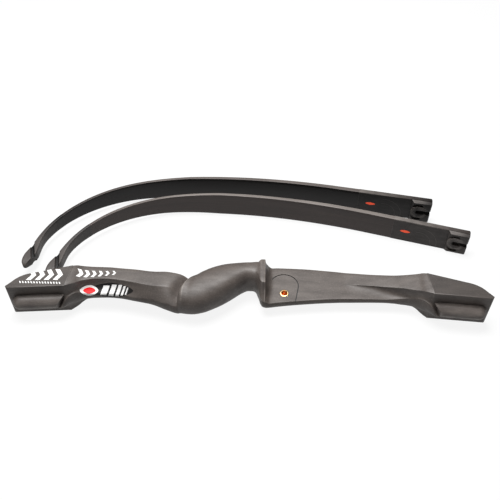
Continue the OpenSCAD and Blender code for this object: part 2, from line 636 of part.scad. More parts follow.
module tip_shape() {
  difference() {
    loft([for (r = TIP) tip_ring(r)]);
    // Pocket for the blade's end
    loft([for (k = [0:5])
      let (s = tip_start - 0.5 + (tip_tongue + 0.6) * k / 5)
        blade_ring(s, blade_width(s) - 2 * tongue_thin + 2 * seat_gap,
          blade_thick(s) - 2 * tongue_thin + 2 * seat_gap)]);
    // Slanted string groove in both edges
    for (edge = [0, 1])
      translate([place(groove_s)[0], place(groove_s)[1], limb_z])
        rotate([0, 0, heading(groove_s) + groove_angle])
          mirror([0, 0, edge]) translate([0, 0, tip_w / 2 - groove_depth + groove_w / 2]) {
            translate([-30, 0, 0]) rotate([0, 90, 0]) cylinder(d = groove_w, h = 60, $fn = 32);
            translate([-30, -groove_w / 2, 0]) cube([60, groove_w, 8]);
          }
  }
}

// Centre of the whole layout, seen from above, from its outermost points
function on_rear(p) =
  let (c = cos(rear_limb_turn), n = sin(rear_limb_turn))
  [rear_limb_x - c * p[0] - n * p[1], rear_limb_y + n * p[0] - c * p[1]];
rear_edge = max([
  for (k = [0:blade_stations])
    let (s = blade_s(k))
      on_rear(on_limb(s, -blade_thick(s) / 2))[1]
]);
tip_edge_x = min([for (r = TIP) on_rear(on_limb(groove_s + r[0], -r[1]))[0]]);
rib_edge = near_in[1] - rib_len * sin(belly_angle) - (rib_out - rib_r) * cos(belly_angle) - rib_r;
layout_x = (x_end + tip_edge_x) / 2;
layout_y = (rear_edge + rib_edge) / 2;

module on_limb_place(x, y, turn) {
  on_layout() translate([x, y, 0]) rotate([0, 0, 180 - turn]) children();
}

module upper_limb_blade() {
  color(limb_black) on_limb_place(rear_limb_x, rear_limb_y, rear_limb_turn) blade_shape();
}

module upper_limb_butt() {
  color(limb_black) on_limb_place(rear_limb_x, rear_limb_y, rear_limb_turn) butt_shape();
}

module upper_limb_tip() {
  color(limb_black) on_limb_place(rear_limb_x, rear_limb_y, rear_limb_turn) tip_shape();
}

module lower_limb_blade() {
  color(limb_black) on_limb_place(front_limb_x, front_limb_y, front_limb_turn) blade_shape();
}

module lower_limb_butt() {
  color(limb_black) on_limb_place(front_limb_x, front_limb_y, front_limb_turn) butt_shape();
}

module lower_limb_tip() {
  color(limb_black) on_limb_place(front_limb_x, front_limb_y, front_limb_turn) tip_shape();
}

riser();
plunger_bushing();
upper_bolt_insert();
upper_limb_bolt();
lower_bolt_insert();
lower_limb_bolt();
upper_limb_blade();
upper_limb_butt();
upper_limb_tip();
lower_limb_blade();
lower_limb_butt();
lower_limb_tip();
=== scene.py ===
# Take-down recurve bow, laid out in its three assemblies: the riser lies on its side in front,
# and both limbs stand on edge behind it with their tips to the left.
# Shapes are worked out in millimetres and turned into metres when a piece is made.
import math

import bmesh
import bpy
import numpy as np
from mathutils import Matrix, Vector
from mathutils.bvhtree import BVHTree


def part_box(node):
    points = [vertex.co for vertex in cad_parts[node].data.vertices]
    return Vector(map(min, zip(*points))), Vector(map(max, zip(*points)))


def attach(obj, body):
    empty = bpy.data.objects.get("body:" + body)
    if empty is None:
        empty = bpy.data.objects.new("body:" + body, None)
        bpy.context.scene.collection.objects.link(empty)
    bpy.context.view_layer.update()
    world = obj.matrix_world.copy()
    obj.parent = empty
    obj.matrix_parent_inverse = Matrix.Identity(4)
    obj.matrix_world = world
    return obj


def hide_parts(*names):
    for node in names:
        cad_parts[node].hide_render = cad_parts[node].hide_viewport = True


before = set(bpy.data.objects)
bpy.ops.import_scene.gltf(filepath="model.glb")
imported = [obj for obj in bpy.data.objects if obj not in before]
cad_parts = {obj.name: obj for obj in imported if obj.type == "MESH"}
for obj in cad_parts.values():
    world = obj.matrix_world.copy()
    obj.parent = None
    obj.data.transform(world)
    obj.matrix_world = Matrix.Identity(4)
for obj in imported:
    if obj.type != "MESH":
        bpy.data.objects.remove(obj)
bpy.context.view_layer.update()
scene = bpy.context.scene
MM = 0.001


# Making pieces


def shown(name, data):
    """A new object in the scene for a mesh, a lamp or a camera."""
    obj = bpy.data.objects.new(name, data)
    scene.collection.objects.link(obj)
    return obj


def shift(x, y, z):
    """A move by a distance in millimetres."""
    return Matrix.Translation((x * MM, y * MM, z * MM))


def piece(name, points, faces):
    """A new mesh piece from points in millimetres."""
    mesh = bpy.data.meshes.new(name)
    mesh.from_pydata([(p[0] * MM, p[1] * MM, p[2] * MM) for p in points], [], faces)
    mesh.update()
    return shown(name, mesh)


def loft(name, rings):
    """A closed skin through rings of the same number of points."""
    n, last = len(rings[0]), len(rings) - 1
    faces = [list(range(n))]
    for i in range(last):
        for k in range(n):
            a, b = i * n + k, i * n + (k + 1) % n
            faces.append([a, a + n, b + n, b])
    faces.append([last * n + k for k in reversed(range(n))])
    return face_out(piece(name, [p for ring in rings for p in ring], faces))


def prism(name, outline, low, high):
    """An outline seen from above, drawn up from one height to another."""
    return loft(name, [[(x, y, low) for x, y in outline], [(x, y, high) for x, y in outline]])


def block(name, low, high):
    """A plain block between two corners, used to cut with or to join on."""
    (x0, y0, z0), (x1, y1, z1) = low, high
    return prism(name, [(x0, y0), (x1, y0), (x1, y1), (x0, y1)], z0, z1)


def turned(name, profile, sides=64, flutes=0, flute_depth=0.0, fluted=()):
    """A lathe-turned shape: profile gives radius and height, flutes are pressed into some of its rows."""
    points, faces = [], []
    for j, (radius, height) in enumerate(profile):
        this, following = j * sides, (j + 1) % len(profile) * sides
        for k in range(sides):
            angle = 2 * math.pi * k / sides
            pressed = flute_depth * (0.5 + 0.5 * math.cos(flutes * angle)) ** 2 if j in fluted else 0.0
            r = radius - pressed
            points.append((r * math.cos(angle), r * math.sin(angle), height))
            beside = (k + 1) % sides
            faces.append([this + k, this + beside, following + beside, following + k])
    return face_out(piece(name, points, faces))


def face_out(obj):
    """Turns all faces of a piece outwards."""
    mesh = bmesh.new()
    mesh.from_mesh(obj.data)
    bmesh.ops.recalc_face_normals(mesh, faces=mesh.faces)
    mesh.to_mesh(obj.data)
    mesh.free()
    return obj


def settle(obj):
    """Turns a piece with modifiers into its finished mesh."""
    bpy.context.view_layer.update()
    depsgraph = bpy.context.evaluated_depsgraph_get()
    mesh = bpy.data.meshes.new_from_object(obj.evaluated_get(depsgraph))
    obj.modifiers.clear()
    obj.data = mesh
    return obj


def worked(obj, *tools, how="DIFFERENCE"):
    """Cuts the tools out of a piece, joins them on, or keeps what both hold."""
    for tool in tools:
        step = obj.modifiers.new("work", "BOOLEAN")
        step.operation = how
        step.solver = "EXACT"
        step.object = tool
        settle(obj)
        bpy.data.objects.remove(tool)
    return obj


def eased(obj, width, angle=30, steps=2):
    """Rounds a piece's hard edges a little."""
    step = obj.modifiers.new("ease", "BEVEL")
    step.width = width * MM
    step.segments = steps
    step.limit_method = "ANGLE"
    step.angle_limit = math.radians(angle)
    step.use_clamp_overlap = True
    return settle(obj)


def rimmed(obj, width=0.6, least=40):
    """Gives each face larger than least, in square millimetres, a narrow rim, so that wear keeps to the
    edges."""
    mesh = bmesh.new()
    mesh.from_mesh(obj.data)
    large = [face for face in mesh.faces if face.calc_area() > least * MM * MM]
    bmesh.ops.inset_individual(mesh, faces=large, thickness=width * MM, use_even_offset=True)
    mesh.to_mesh(obj.data)
    mesh.free()
    return obj


def moved(obj, matrix):
    """Moves a piece's mesh; a mirrored one is turned right side out again."""
    obj.data.transform(matrix)
    if matrix.determinant() < 0:
        obj.data.flip_normals()
    obj.data.update()
    return obj


def twin(obj, name, matrix):
    """A second piece of the same shape at another place."""
    return moved(shown(name, obj.data.copy()), matrix)


def joined(name, parts):
    """One piece made of several meshes."""
    mesh = bmesh.new()
    for part in parts:
        mesh.from_mesh(part.data)
        bpy.data.objects.remove(part)
    data = bpy.data.meshes.new(name)
    mesh.to_mesh(data)
    mesh.free()
    return shown(name, data)


def smoothed(obj, angle=34):
    """Smooth shading, broken at edges sharper than the angle."""
    obj.data.polygons.foreach_set("use_smooth", [True] * len(obj.data.polygons))
    obj.data.set_sharp_from_angle(angle=math.radians(angle))
    return obj


def vertex_array(mesh, what="co"):
    """The places of a mesh's vertices, or their normals."""
    values = np.zeros(len(mesh.vertices) * 3)
    mesh.vertices.foreach_get(what, values)
    return values.reshape(-1, 3)


def keep_values(obj, name, values):
    """Keeps one number or one vector for each vertex, for the materials."""
    kind, field = ("FLOAT_VECTOR", "vector") if np.ndim(values) == 2 else ("FLOAT", "value")
    layer = obj.data.attributes.new(name, kind, "POINT")
    layer.data.foreach_set(field, np.ravel(values).astype(np.float32))


def mark_wear(obj, low=0.10, high=0.42, also=0.0, share=1.0):
    """Marks the outward edges, where hands and bags rub a moulded part pale. Wear grows from nothing at
    the bend low to full at the bend high, share scales it for each vertex, and also adds other places,
    some of which are painted highlights."""
    co, normals = vertex_array(obj.data), vertex_array(obj.data, "normal")
    edges = np.zeros(len(obj.data.edges) * 2, int)
    obj.data.edges.foreach_get("vertices", edges)
    a, b = edges.reshape(-1, 2).T
    step = co[a] - co[b]
    length = np.maximum(np.linalg.norm(step, axis=1), 1e-9)
    bend_a = np.einsum("ij,ij->i", normals[a], step) / length
    bend_b = -np.einsum("ij,ij->i", normals[b], step) / length
    total, count = np.zeros(len(co)), np.zeros(len(co))
    for index, bend in ((a, bend_a), (b, bend_b)):
        np.add.at(total, index, bend)
        np.add.at(count, index, 1)
    wear_and_highlight = np.clip((total / np.maximum(count, 1) - low) / (high - low), 0, 1)
    keep_values(obj, "wear_and_highlight", np.maximum(wear_and_highlight * share, also))


# Materials


def srgb(code):
    """Linear colour of an sRGB hex value."""
    parts = [int(code[i:i + 2], 16) / 255 for i in (1, 3, 5)]
    return [c / 12.92 if c <= 0.04045 else ((c + 0.055) / 1.055) ** 2.4 for c in parts] + [1.0]


def add(tree, kind, links=None, stops=(), **settings):
    """Adds a node. links sets its inputs: to a node, which stands for its first open output, to a socket
    or to a value. stops sets the places and colours of a ramp."""
    node = tree.nodes.new(kind)
    for key, value in settings.items():
        setattr(node, key, value)
    for key, value in (links or {}).items():
        if isinstance(value, bpy.types.Node):
            value = next(socket for socket in value.outputs if socket.enabled)
        if isinstance(value, bpy.types.NodeSocket):
            tree.links.new(value, node.inputs[key])
        else:
            node.inputs[key].default_value = srgb(value) if isinstance(value, str) else value
    for i, (position, colour) in enumerate(stops):
        node.color_ramp.elements[i].position = position
        node.color_ramp.elements[i].color = srgb(colour)
    return node


def started(name):
    """An empty material and its node tree."""
    material = bpy.data.materials.new(name)
    material.use_nodes = True
    material.node_tree.nodes.clear()
    return material, material.node_tree


def finished(material, inputs):
    """The material, with its shader and output in place and these inputs given to the shader."""
    shader = add(material.node_tree, "ShaderNodeBsdfPrincipled", inputs)
    add(material.node_tree, "ShaderNodeOutputMaterial", {"Surface": shader})
    return material


def per_mm(size):
    """Noise scale for a pattern of that size in millimetres."""
    return 1000.0 / size


# A near black for painted shade in grooves and on some faces
painted_shade_black = "#0E0C0B"

# In a node that mixes colours, input 0 is the share, and inputs 6 and 7 are the two colours


def glass_filled_nylon(name, deep, lit, worn):
    """Glass-filled nylon, injection moulded: matt dark grey with cloudy flow marks along the part,
    a fine grain from the glass fibres, paler rubbed edges and rib crowns, the crowns partly a painted
    highlight, and painted shade darkened towards near black."""
    material, tree = started(name)
    where = add(tree, "ShaderNodeTexCoord").outputs["Object"]
    wear_and_highlight = add(tree, "ShaderNodeAttribute", attribute_name="wear_and_highlight").outputs["Fac"]
    painted_shade = add(tree, "ShaderNodeAttribute", attribute_name="painted_shade").outputs["Fac"]
    # Flow marks about 30 mm long and 9 mm wide
    flow = add(tree, "ShaderNodeMapping", {"Vector": where, "Scale": (per_mm(30), per_mm(9), per_mm(9))})
    clouds = add(tree, "ShaderNodeTexNoise", {"Vector": flow, "Scale": 1.0, "Detail": 5.0, "Roughness": 0.62})
    # The grain is about 0.3 mm on the real part and drawn at 1.4 mm, so that it shows
    grain = add(tree, "ShaderNodeTexNoise",
                {"Vector": where, "Scale": per_mm(1.4), "Detail": 4.0, "Roughness": 0.65})
    colour = add(tree, "ShaderNodeValToRGB", {"Fac": clouds}, stops=[(0.32, deep), (0.70, lit)])
    specks = add(tree, "ShaderNodeMapRange",
                 {"Value": grain, "From Min": 0.5, "From Max": 0.8, "To Max": 0.3})
    colour = add(tree, "ShaderNodeMix", {0: specks, 6: colour, 7: worn}, data_type="RGBA")
    # The rubbed edges are paler in patches, and so are the ribs' crowns, partly rubbed and partly a painted
    # highlight
    patches = add(tree, "ShaderNodeMapRange", {"Value": clouds, "From Min": 0.25, "From Max": 0.7})
    patchy = add(tree, "ShaderNodeMath", {0: wear_and_highlight, 1: patches}, operation="MULTIPLY")
    colour = add(tree, "ShaderNodeMix", {0: patchy, 6: colour, 7: worn}, data_type="RGBA")
    # Painted shade: the colour is darkened towards near black in the fine line, on the end blocks' tops and
    # on the lower arm
    colour = add(tree, "ShaderNodeMix", {0: painted_shade, 6: colour, 7: painted_shade_black}, data_type="RGBA")
    gloss = add(tree, "ShaderNodeMapRange",
                {"Value": clouds, "From Min": 0.3, "From Max": 0.7, "To Min": 0.56, "To Max": 0.44})
    dents = add(tree, "ShaderNodeBump", {"Height": grain, "Distance": 0.00012, "Strength": 0.5})
    return finished(material, {"Base Color": colour, "Roughness": gloss, "Normal": dents, "IOR": 1.5})


def pressed_laminate(name, face, face_light, edge_dark, edge_light, ior):
    """Fibreglass laminate, pressed and ground: a satin dark face with faint drawn lines along the limb,
    and a sanded edge that shows paler layers."""
    material, tree = started(name)
    # run is the place along, through and across the limb, in millimetres
    run = add(tree, "ShaderNodeAttribute", attribute_name="run").outputs["Vector"]
    side = add(tree, "ShaderNodeAttribute", attribute_name="edge").outputs["Fac"]
    # Drawn lines 90 mm long and 1.2 mm wide, and a broad sheen 120 mm long and 14 mm wide
    drawn = add(tree, "ShaderNodeMapping", {"Vector": run, "Scale": (1 / 90, 1 / 1.2, 1 / 1.2)})
    lines = add(tree, "ShaderNodeTexNoise", {"Vector": drawn, "Scale": 1.0, "Detail": 4.0, "Roughness": 0.6})
    broad = add(tree, "ShaderNodeMapping", {"Vector": run, "Scale": (1 / 120, 1 / 14, 1 / 14)})
    sheen = add(tree, "ShaderNodeTexNoise", {"Vector": broad, "Scale": 1.0, "Detail": 2.0})
    both = add(tree, "ShaderNodeMath", {0: lines, 1: sheen}, operation="MULTIPLY")
    flat = add(tree, "ShaderNodeValToRGB", {"Fac": both}, stops=[(0.12, face), (0.42, face_light)])
    # The layers in the edge are 55 mm long and 0.8 mm thick
    layers = add(tree, "ShaderNodeMapping", {"Vector": run, "Scale": (1 / 55, 1 / 0.8, 1 / 6)})
    bands = add(tree, "ShaderNodeTexNoise",
                {"Vector": layers, "Scale": 1.0, "Detail": 3.0, "Roughness": 0.65})
    sanded = add(tree, "ShaderNodeValToRGB", {"Fac": bands}, stops=[(0.36, edge_dark), (0.66, edge_light)])
    colour = add(tree, "ShaderNodeMix", {0: side, 6: flat, 7: sanded}, data_type="RGBA")
    gloss = add(tree, "ShaderNodeMapRange", {"Value": lines, "To Min": 0.34, "To Max": 0.52})
    grooves = add(tree, "ShaderNodeBump", {"Height": lines, "Distance": 0.00005, "Strength": 0.5})
    return finished(material, {"Base Color": colour, "Roughness": gloss, "Normal": grooves, "IOR": ior})


def moulded_limb_nylon(name, deep, lit, worn, ior, arcs=False, seam=None):
    """Glass-filled nylon moulded round the laminate: matt and dark, with rubbed corners. On a butt it
    also has faint curved flow lines and a painted highlight on the seat's rim, and on a tip the colour
    of the blade at the seam and painted shade in the string groove."""
    material, tree = started(name)
    run = add(tree, "ShaderNodeAttribute", attribute_name="run").outputs["Vector"]
    wear_and_highlight = add(tree, "ShaderNodeAttribute", attribute_name="wear_and_highlight").outputs["Fac"]
    # Flow marks 14 mm long and 6 mm wide
    flow = add(tree, "ShaderNodeMapping", {"Vector": run, "Scale": (1 / 14, 1 / 6, 1 / 6)})
    clouds = add(tree, "ShaderNodeTexNoise", {"Vector": flow, "Scale": 1.0, "Detail": 5.0, "Roughness": 0.6})
    # The real grain is about 0.3 mm and drawn at 1.2 mm
    grain = add(tree, "ShaderNodeTexNoise", {"Vector": run, "Scale": 1 / 1.2, "Detail": 2.0})
    colour = add(tree, "ShaderNodeValToRGB", {"Fac": clouds}, stops=[(0.3, deep), (0.72, lit)])
    if arcs:
        # Flow lines 8 mm apart round a point low on the butt, between 14 and 26 mm from it
        parts = add(tree, "ShaderNodeSeparateXYZ", {"Vector": run})
        dx = add(tree, "ShaderNodeMath", {0: parts.outputs["X"], 1: 62.0}, operation="SUBTRACT")
        dz = add(tree, "ShaderNodeMath", {0: parts.outputs["Z"], 1: -13.0}, operation="SUBTRACT")
        flat = add(tree, "ShaderNodeCombineXYZ", {"X": dx, "Y": dz})
        away = add(tree, "ShaderNodeVectorMath", {0: flat}, operation="LENGTH")
        ring = add(tree, "ShaderNodeMath", {0: away, 1: 8.0}, operation="MODULO")
        line = add(tree, "ShaderNodeMath", {0: ring, 1: 0.0, 2: 0.5}, operation="COMPARE")
        # The last two keep the lines to the hollow side's face and to the bolt's side of the point
        for value, limit, test in ((away, 14.0, "GREATER_THAN"), (away, 26.0, "LESS_THAN"),
                                   (parts.outputs["Y"], 2.0, "GREATER_THAN"), (dx, 4.0, "LESS_THAN")):
            inside = add(tree, "ShaderNodeMath", {0: value, 1: limit}, operation=test)
            line = add(tree, "ShaderNodeMath", {0: line, 1: inside}, operation="MULTIPLY")
        faint = add(tree, "ShaderNodeMath", {0: line, 1: 0.28}, operation="MULTIPLY")
        colour = add(tree, "ShaderNodeMix", {0: faint, 6: colour, 7: worn}, data_type="RGBA")
    if seam:
        # A tip is sanded flush with its blade and as dark there, and greyer towards its end
        out = add(tree, "ShaderNodeAttribute", attribute_name="outward").outputs["Fac"]
        painted_shade = add(tree, "ShaderNodeAttribute", attribute_name="painted_shade").outputs["Fac"]
        colour = add(tree, "ShaderNodeMix", {0: out, 6: seam, 7: colour}, data_type="RGBA")
        # Painted shade: the string groove is darkened towards near black
        colour = add(tree, "ShaderNodeMix", {0: painted_shade, 6: colour, 7: painted_shade_black}, data_type="RGBA")
    # Rubbed corners are paler in patches; on a butt this also holds the painted highlight on the seat's rim
    patchy = add(tree, "ShaderNodeMath", {0: wear_and_highlight, 1: clouds}, operation="MULTIPLY")
    colour = add(tree, "ShaderNodeMix", {0: patchy, 6: colour, 7: worn}, data_type="RGBA")
    gloss = add(tree, "ShaderNodeMapRange",
                {"Value": clouds, "From Min": 0.3, "From Max": 0.7, "To Min": 0.54, "To Max": 0.42})
    dents = add(tree, "ShaderNodeBump", {"Height": grain, "Distance": 0.00008, "Strength": 0.5})
    return finished(material, {"Base Color": colour, "Roughness": gloss, "Normal": dents, "IOR": ior})


def turned_brass(name, bright, dull):
    """Brass, turned: warm yellow with fine marks from the tool and browner spots where it has tarnished."""
    material, tree = started(name)
    where = add(tree, "ShaderNodeTexCoord").outputs["Object"]
    spots = add(tree, "ShaderNodeTexNoise", {"Vector": where, "Scale": per_mm(2.2), "Detail": 3.0})
    colour = add(tree, "ShaderNodeValToRGB", {"Fac": spots}, stops=[(0.35, dull), (0.62, bright)])
    # Tool marks about 0.1 mm apart, drawn at 0.5 mm
    fine = add(tree, "ShaderNodeTexNoise", {"Vector": where, "Scale": per_mm(0.5), "Detail": 1.0})
    gloss = add(tree, "ShaderNodeMapRange", {"Value": fine, "To Min": 0.22, "To Max": 0.42})
    marks = add(tree, "ShaderNodeBump", {"Height": fine, "Distance": 0.00002, "Strength": 0.4})
    return finished(material, {"Base Color": colour, "Metallic": 1.0, "Roughness": gloss, "Normal": marks})


def zinc_plated_steel(name, bright, dull):
    """Steel, zinc-plated after turning: a cool grey shine, slightly cloudy, with dull spots."""
    material, tree = started(name)
    where = add(tree, "ShaderNodeTexCoord").outputs["Object"]
    clouds = add(tree, "ShaderNodeTexNoise", {"Vector": where, "Scale": per_mm(3.0), "Detail": 4.0})
    colour = add(tree, "ShaderNodeValToRGB", {"Fac": clouds}, stops=[(0.35, dull), (0.65, bright)])
    gloss = add(tree, "ShaderNodeMapRange", {"Value": clouds, "To Min": 0.24, "To Max": 0.46})
    # Tool marks under the plating, drawn at 0.6 mm
    fine = add(tree, "ShaderNodeTexNoise", {"Vector": where, "Scale": per_mm(0.6), "Detail": 2.0})
    marks = add(tree, "ShaderNodeBump", {"Height": fine, "Distance": 0.00002, "Strength": 0.4})
    return finished(material, {"Base Color": colour, "Metallic": 1.0, "Roughness": gloss, "Normal": marks})


def printed_ink(name, full, thin, glow=0.0):
    """Pad-printed ink: even and nearly matt, thinner and dustier in spots where it has rubbed. With a
    painted glow, it also gives off light of its own colour, however it is lit."""
    material, tree = started(name)
    where = add(tree, "ShaderNodeTexCoord").outputs["Object"]
    spots = add(tree, "ShaderNodeTexNoise",
                {"Vector": where, "Scale": per_mm(2.5), "Detail": 4.0, "Roughness": 0.7})
    colour = add(tree, "ShaderNodeValToRGB", {"Fac": spots}, stops=[(0.28, thin), (0.42, full)])
    gloss = add(tree, "ShaderNodeMapRange", {"Value": spots, "To Min": 0.62, "To Max": 0.5})
    inputs = {"Base Color": colour, "Roughness": gloss, "IOR": 1.38}
    # Painted glow: the ink gives off light in its own colour
    if glow:
        inputs.update({"Emission Color": full, "Emission Strength": glow})
    return finished(material, inputs)


# The upper limb's materials are darker copies of the lower limb's: painted shade for the limb that
# lies behind. They have a lower IOR too, which makes them less shiny.
riser_nylon = glass_filled_nylon("glass_filled_nylon_moulded", "#4B4440", "#605853", "#948C86")
upper_laminate_shaded = pressed_laminate(
    "fibreglass_laminate_shaded_copy", "#0D0908", "#1A1413", "#4C4643", "#6C6561", 1.36)
lower_laminate_lit = pressed_laminate(
    "fibreglass_laminate_lit_copy", "#382E2B", "#483D39", "#665F5B", "#857E79", 1.42)
upper_butt_nylon_shaded = moulded_limb_nylon("limb_nylon_moulded_shaded_copy", "#110D0B", "#1F1A18", "#8A837E", 1.36, True)
lower_butt_nylon_lit = moulded_limb_nylon("limb_nylon_moulded_lit_copy", "#292320", "#3C3532", "#9A938E", 1.42, True)
tip_colours = ("#45403E", "#524D4A", "#7F7974")
upper_tip_nylon_shaded = moulded_limb_nylon("tip_nylon_moulded_shaded_copy", *tip_colours, 1.38, seam="#12100F")
lower_tip_nylon_lit = moulded_limb_nylon("tip_nylon_moulded_lit_copy", *tip_colours, 1.42, seam="#343130")
bushing_brass = turned_brass("brass_turned", "#FFE3AE", "#DDA75A")
# The thread's brass is brighter and more orange than the sleeve's, a painted reflection that lights the bore
thread_brass_brightened = turned_brass("brass_thread_painted_reflection", "#FFB65E", "#E8903F")
insert_brass = turned_brass("brass_insert_turned", "#D8AE68", "#A87634")
bolt_steel = zinc_plated_steel("steel_zinc_plated", "#A9ABAE", "#7E8084")
white_ink = printed_ink("white_ink_printed", "#F4F3F1", "#CFCDC9")
black_ink = printed_ink("black_ink_printed", "#171514", "#262321")
red_ink = printed_ink("red_ink_printed", "#EC0814", "#C80C15")
coral_ink = printed_ink("coral_ink_painted_glow", "#FF5E3F", "#F24C34", 0.42)


# Riser, in its own frame: its middle is at x = 0, its belly towards -y, and its own height is z.
# Lengths are in millimetres.

riser_len = 567
block_w = 47.8
block_len = 67.4
block_depth = 31.4
pad_len = 60.6
pad_angle = math.radians(16.1)
belly_angle = math.radians(4.4)
rib_r = 8.8
rib_out = 12.1
rib_from_shoulder = 8.5
rib_cut_angle = math.radians(14)
window_z = 20
shelf_x = 27
window_len = 88
heel_x = 84
edge_r = 2.8

# The middle's height, the half heights of the arms and the grip, and the heights of the window and of
# the end blocks' faces from the middle
mid = block_w / 2
arm = 16
grip = 20
face = window_z - mid
flush = mid - 0.1

# Corners of the upper end block: at its shoulder, at its end, and at both ends of the limb pad
corner_cut = 2
belly_y = -15.3
near_in = (riser_len / 2 - corner_cut - block_len, belly_y)
near_out = (riser_len / 2 - corner_cut, belly_y - block_len * math.tan(belly_angle))
end_corner = (near_out[0] + corner_cut, near_out[1] + corner_cut * 1.3)
back_in = (near_in[0] - 4.1, belly_y + block_depth)
back_out = (back_in[0] + pad_len * math.cos(pad_angle), back_in[1] - pad_len * math.sin(pad_angle))
x_low = -near_in[0]
x_high = near_in[0]
x_window = shelf_x + window_len


def low_arm(share):
    """A place along the lower arm, as a share of the way from its shoulder to the heel of the grip."""
    return x_low + (-heel_x - x_low) * share


def high_arm(share):
    """A place along the upper arm, as a share of the way from the window to its shoulder."""
    return x_window + (x_high - x_window) * share


# Each row: place along the riser, back edge, upper crease, belly edge, lower crease, then as heights
# from the middle the top, the belly edge's two corners and the bottom, then how hollow and how oval
# the section is, how far its back leans along the riser, and the radius of its back corners.
# The rows round a shoulder are the same at both ends, and their places are counted outwards from it.
SHOULDER = [
    (13.6, 9, -13, -14, -8, flush, -6.2, -6.8, -flush, 1, 0, 0, 0),
    (11.4, 11, -13.5, -25, -11, flush, -6.2, -6.8, -flush, 1, 0, 0, 0),
    (8.5, 11.8, -15.3, -25.8, -15.3, flush, -5.4, -7.2, -flush, 1, 0, 0, 0),
    (6.5, 12.4, -15.2, -25.6, -15.2, flush, -3, -6.9, -flush, 1, 0, 0, 0),
    (2.4, 13.6, -15, -23.6, -15, flush, 4, -5.6, -flush, 1, 0, 0, 0),
    (0.2, 14.2, -14.9, -21.6, -14.9, flush, 6.6, -5.2, -flush, 1, 0, 0, 0),
    (-1.9, 15.2, -13.8, -19.6, -13.9, flush - 0.4, 8, -5.2, -flush + 0.8, 1, 0, 0, 0.4),
]
ROWS = [(x_low - out, *rest) for out, *rest in SHOULDER]
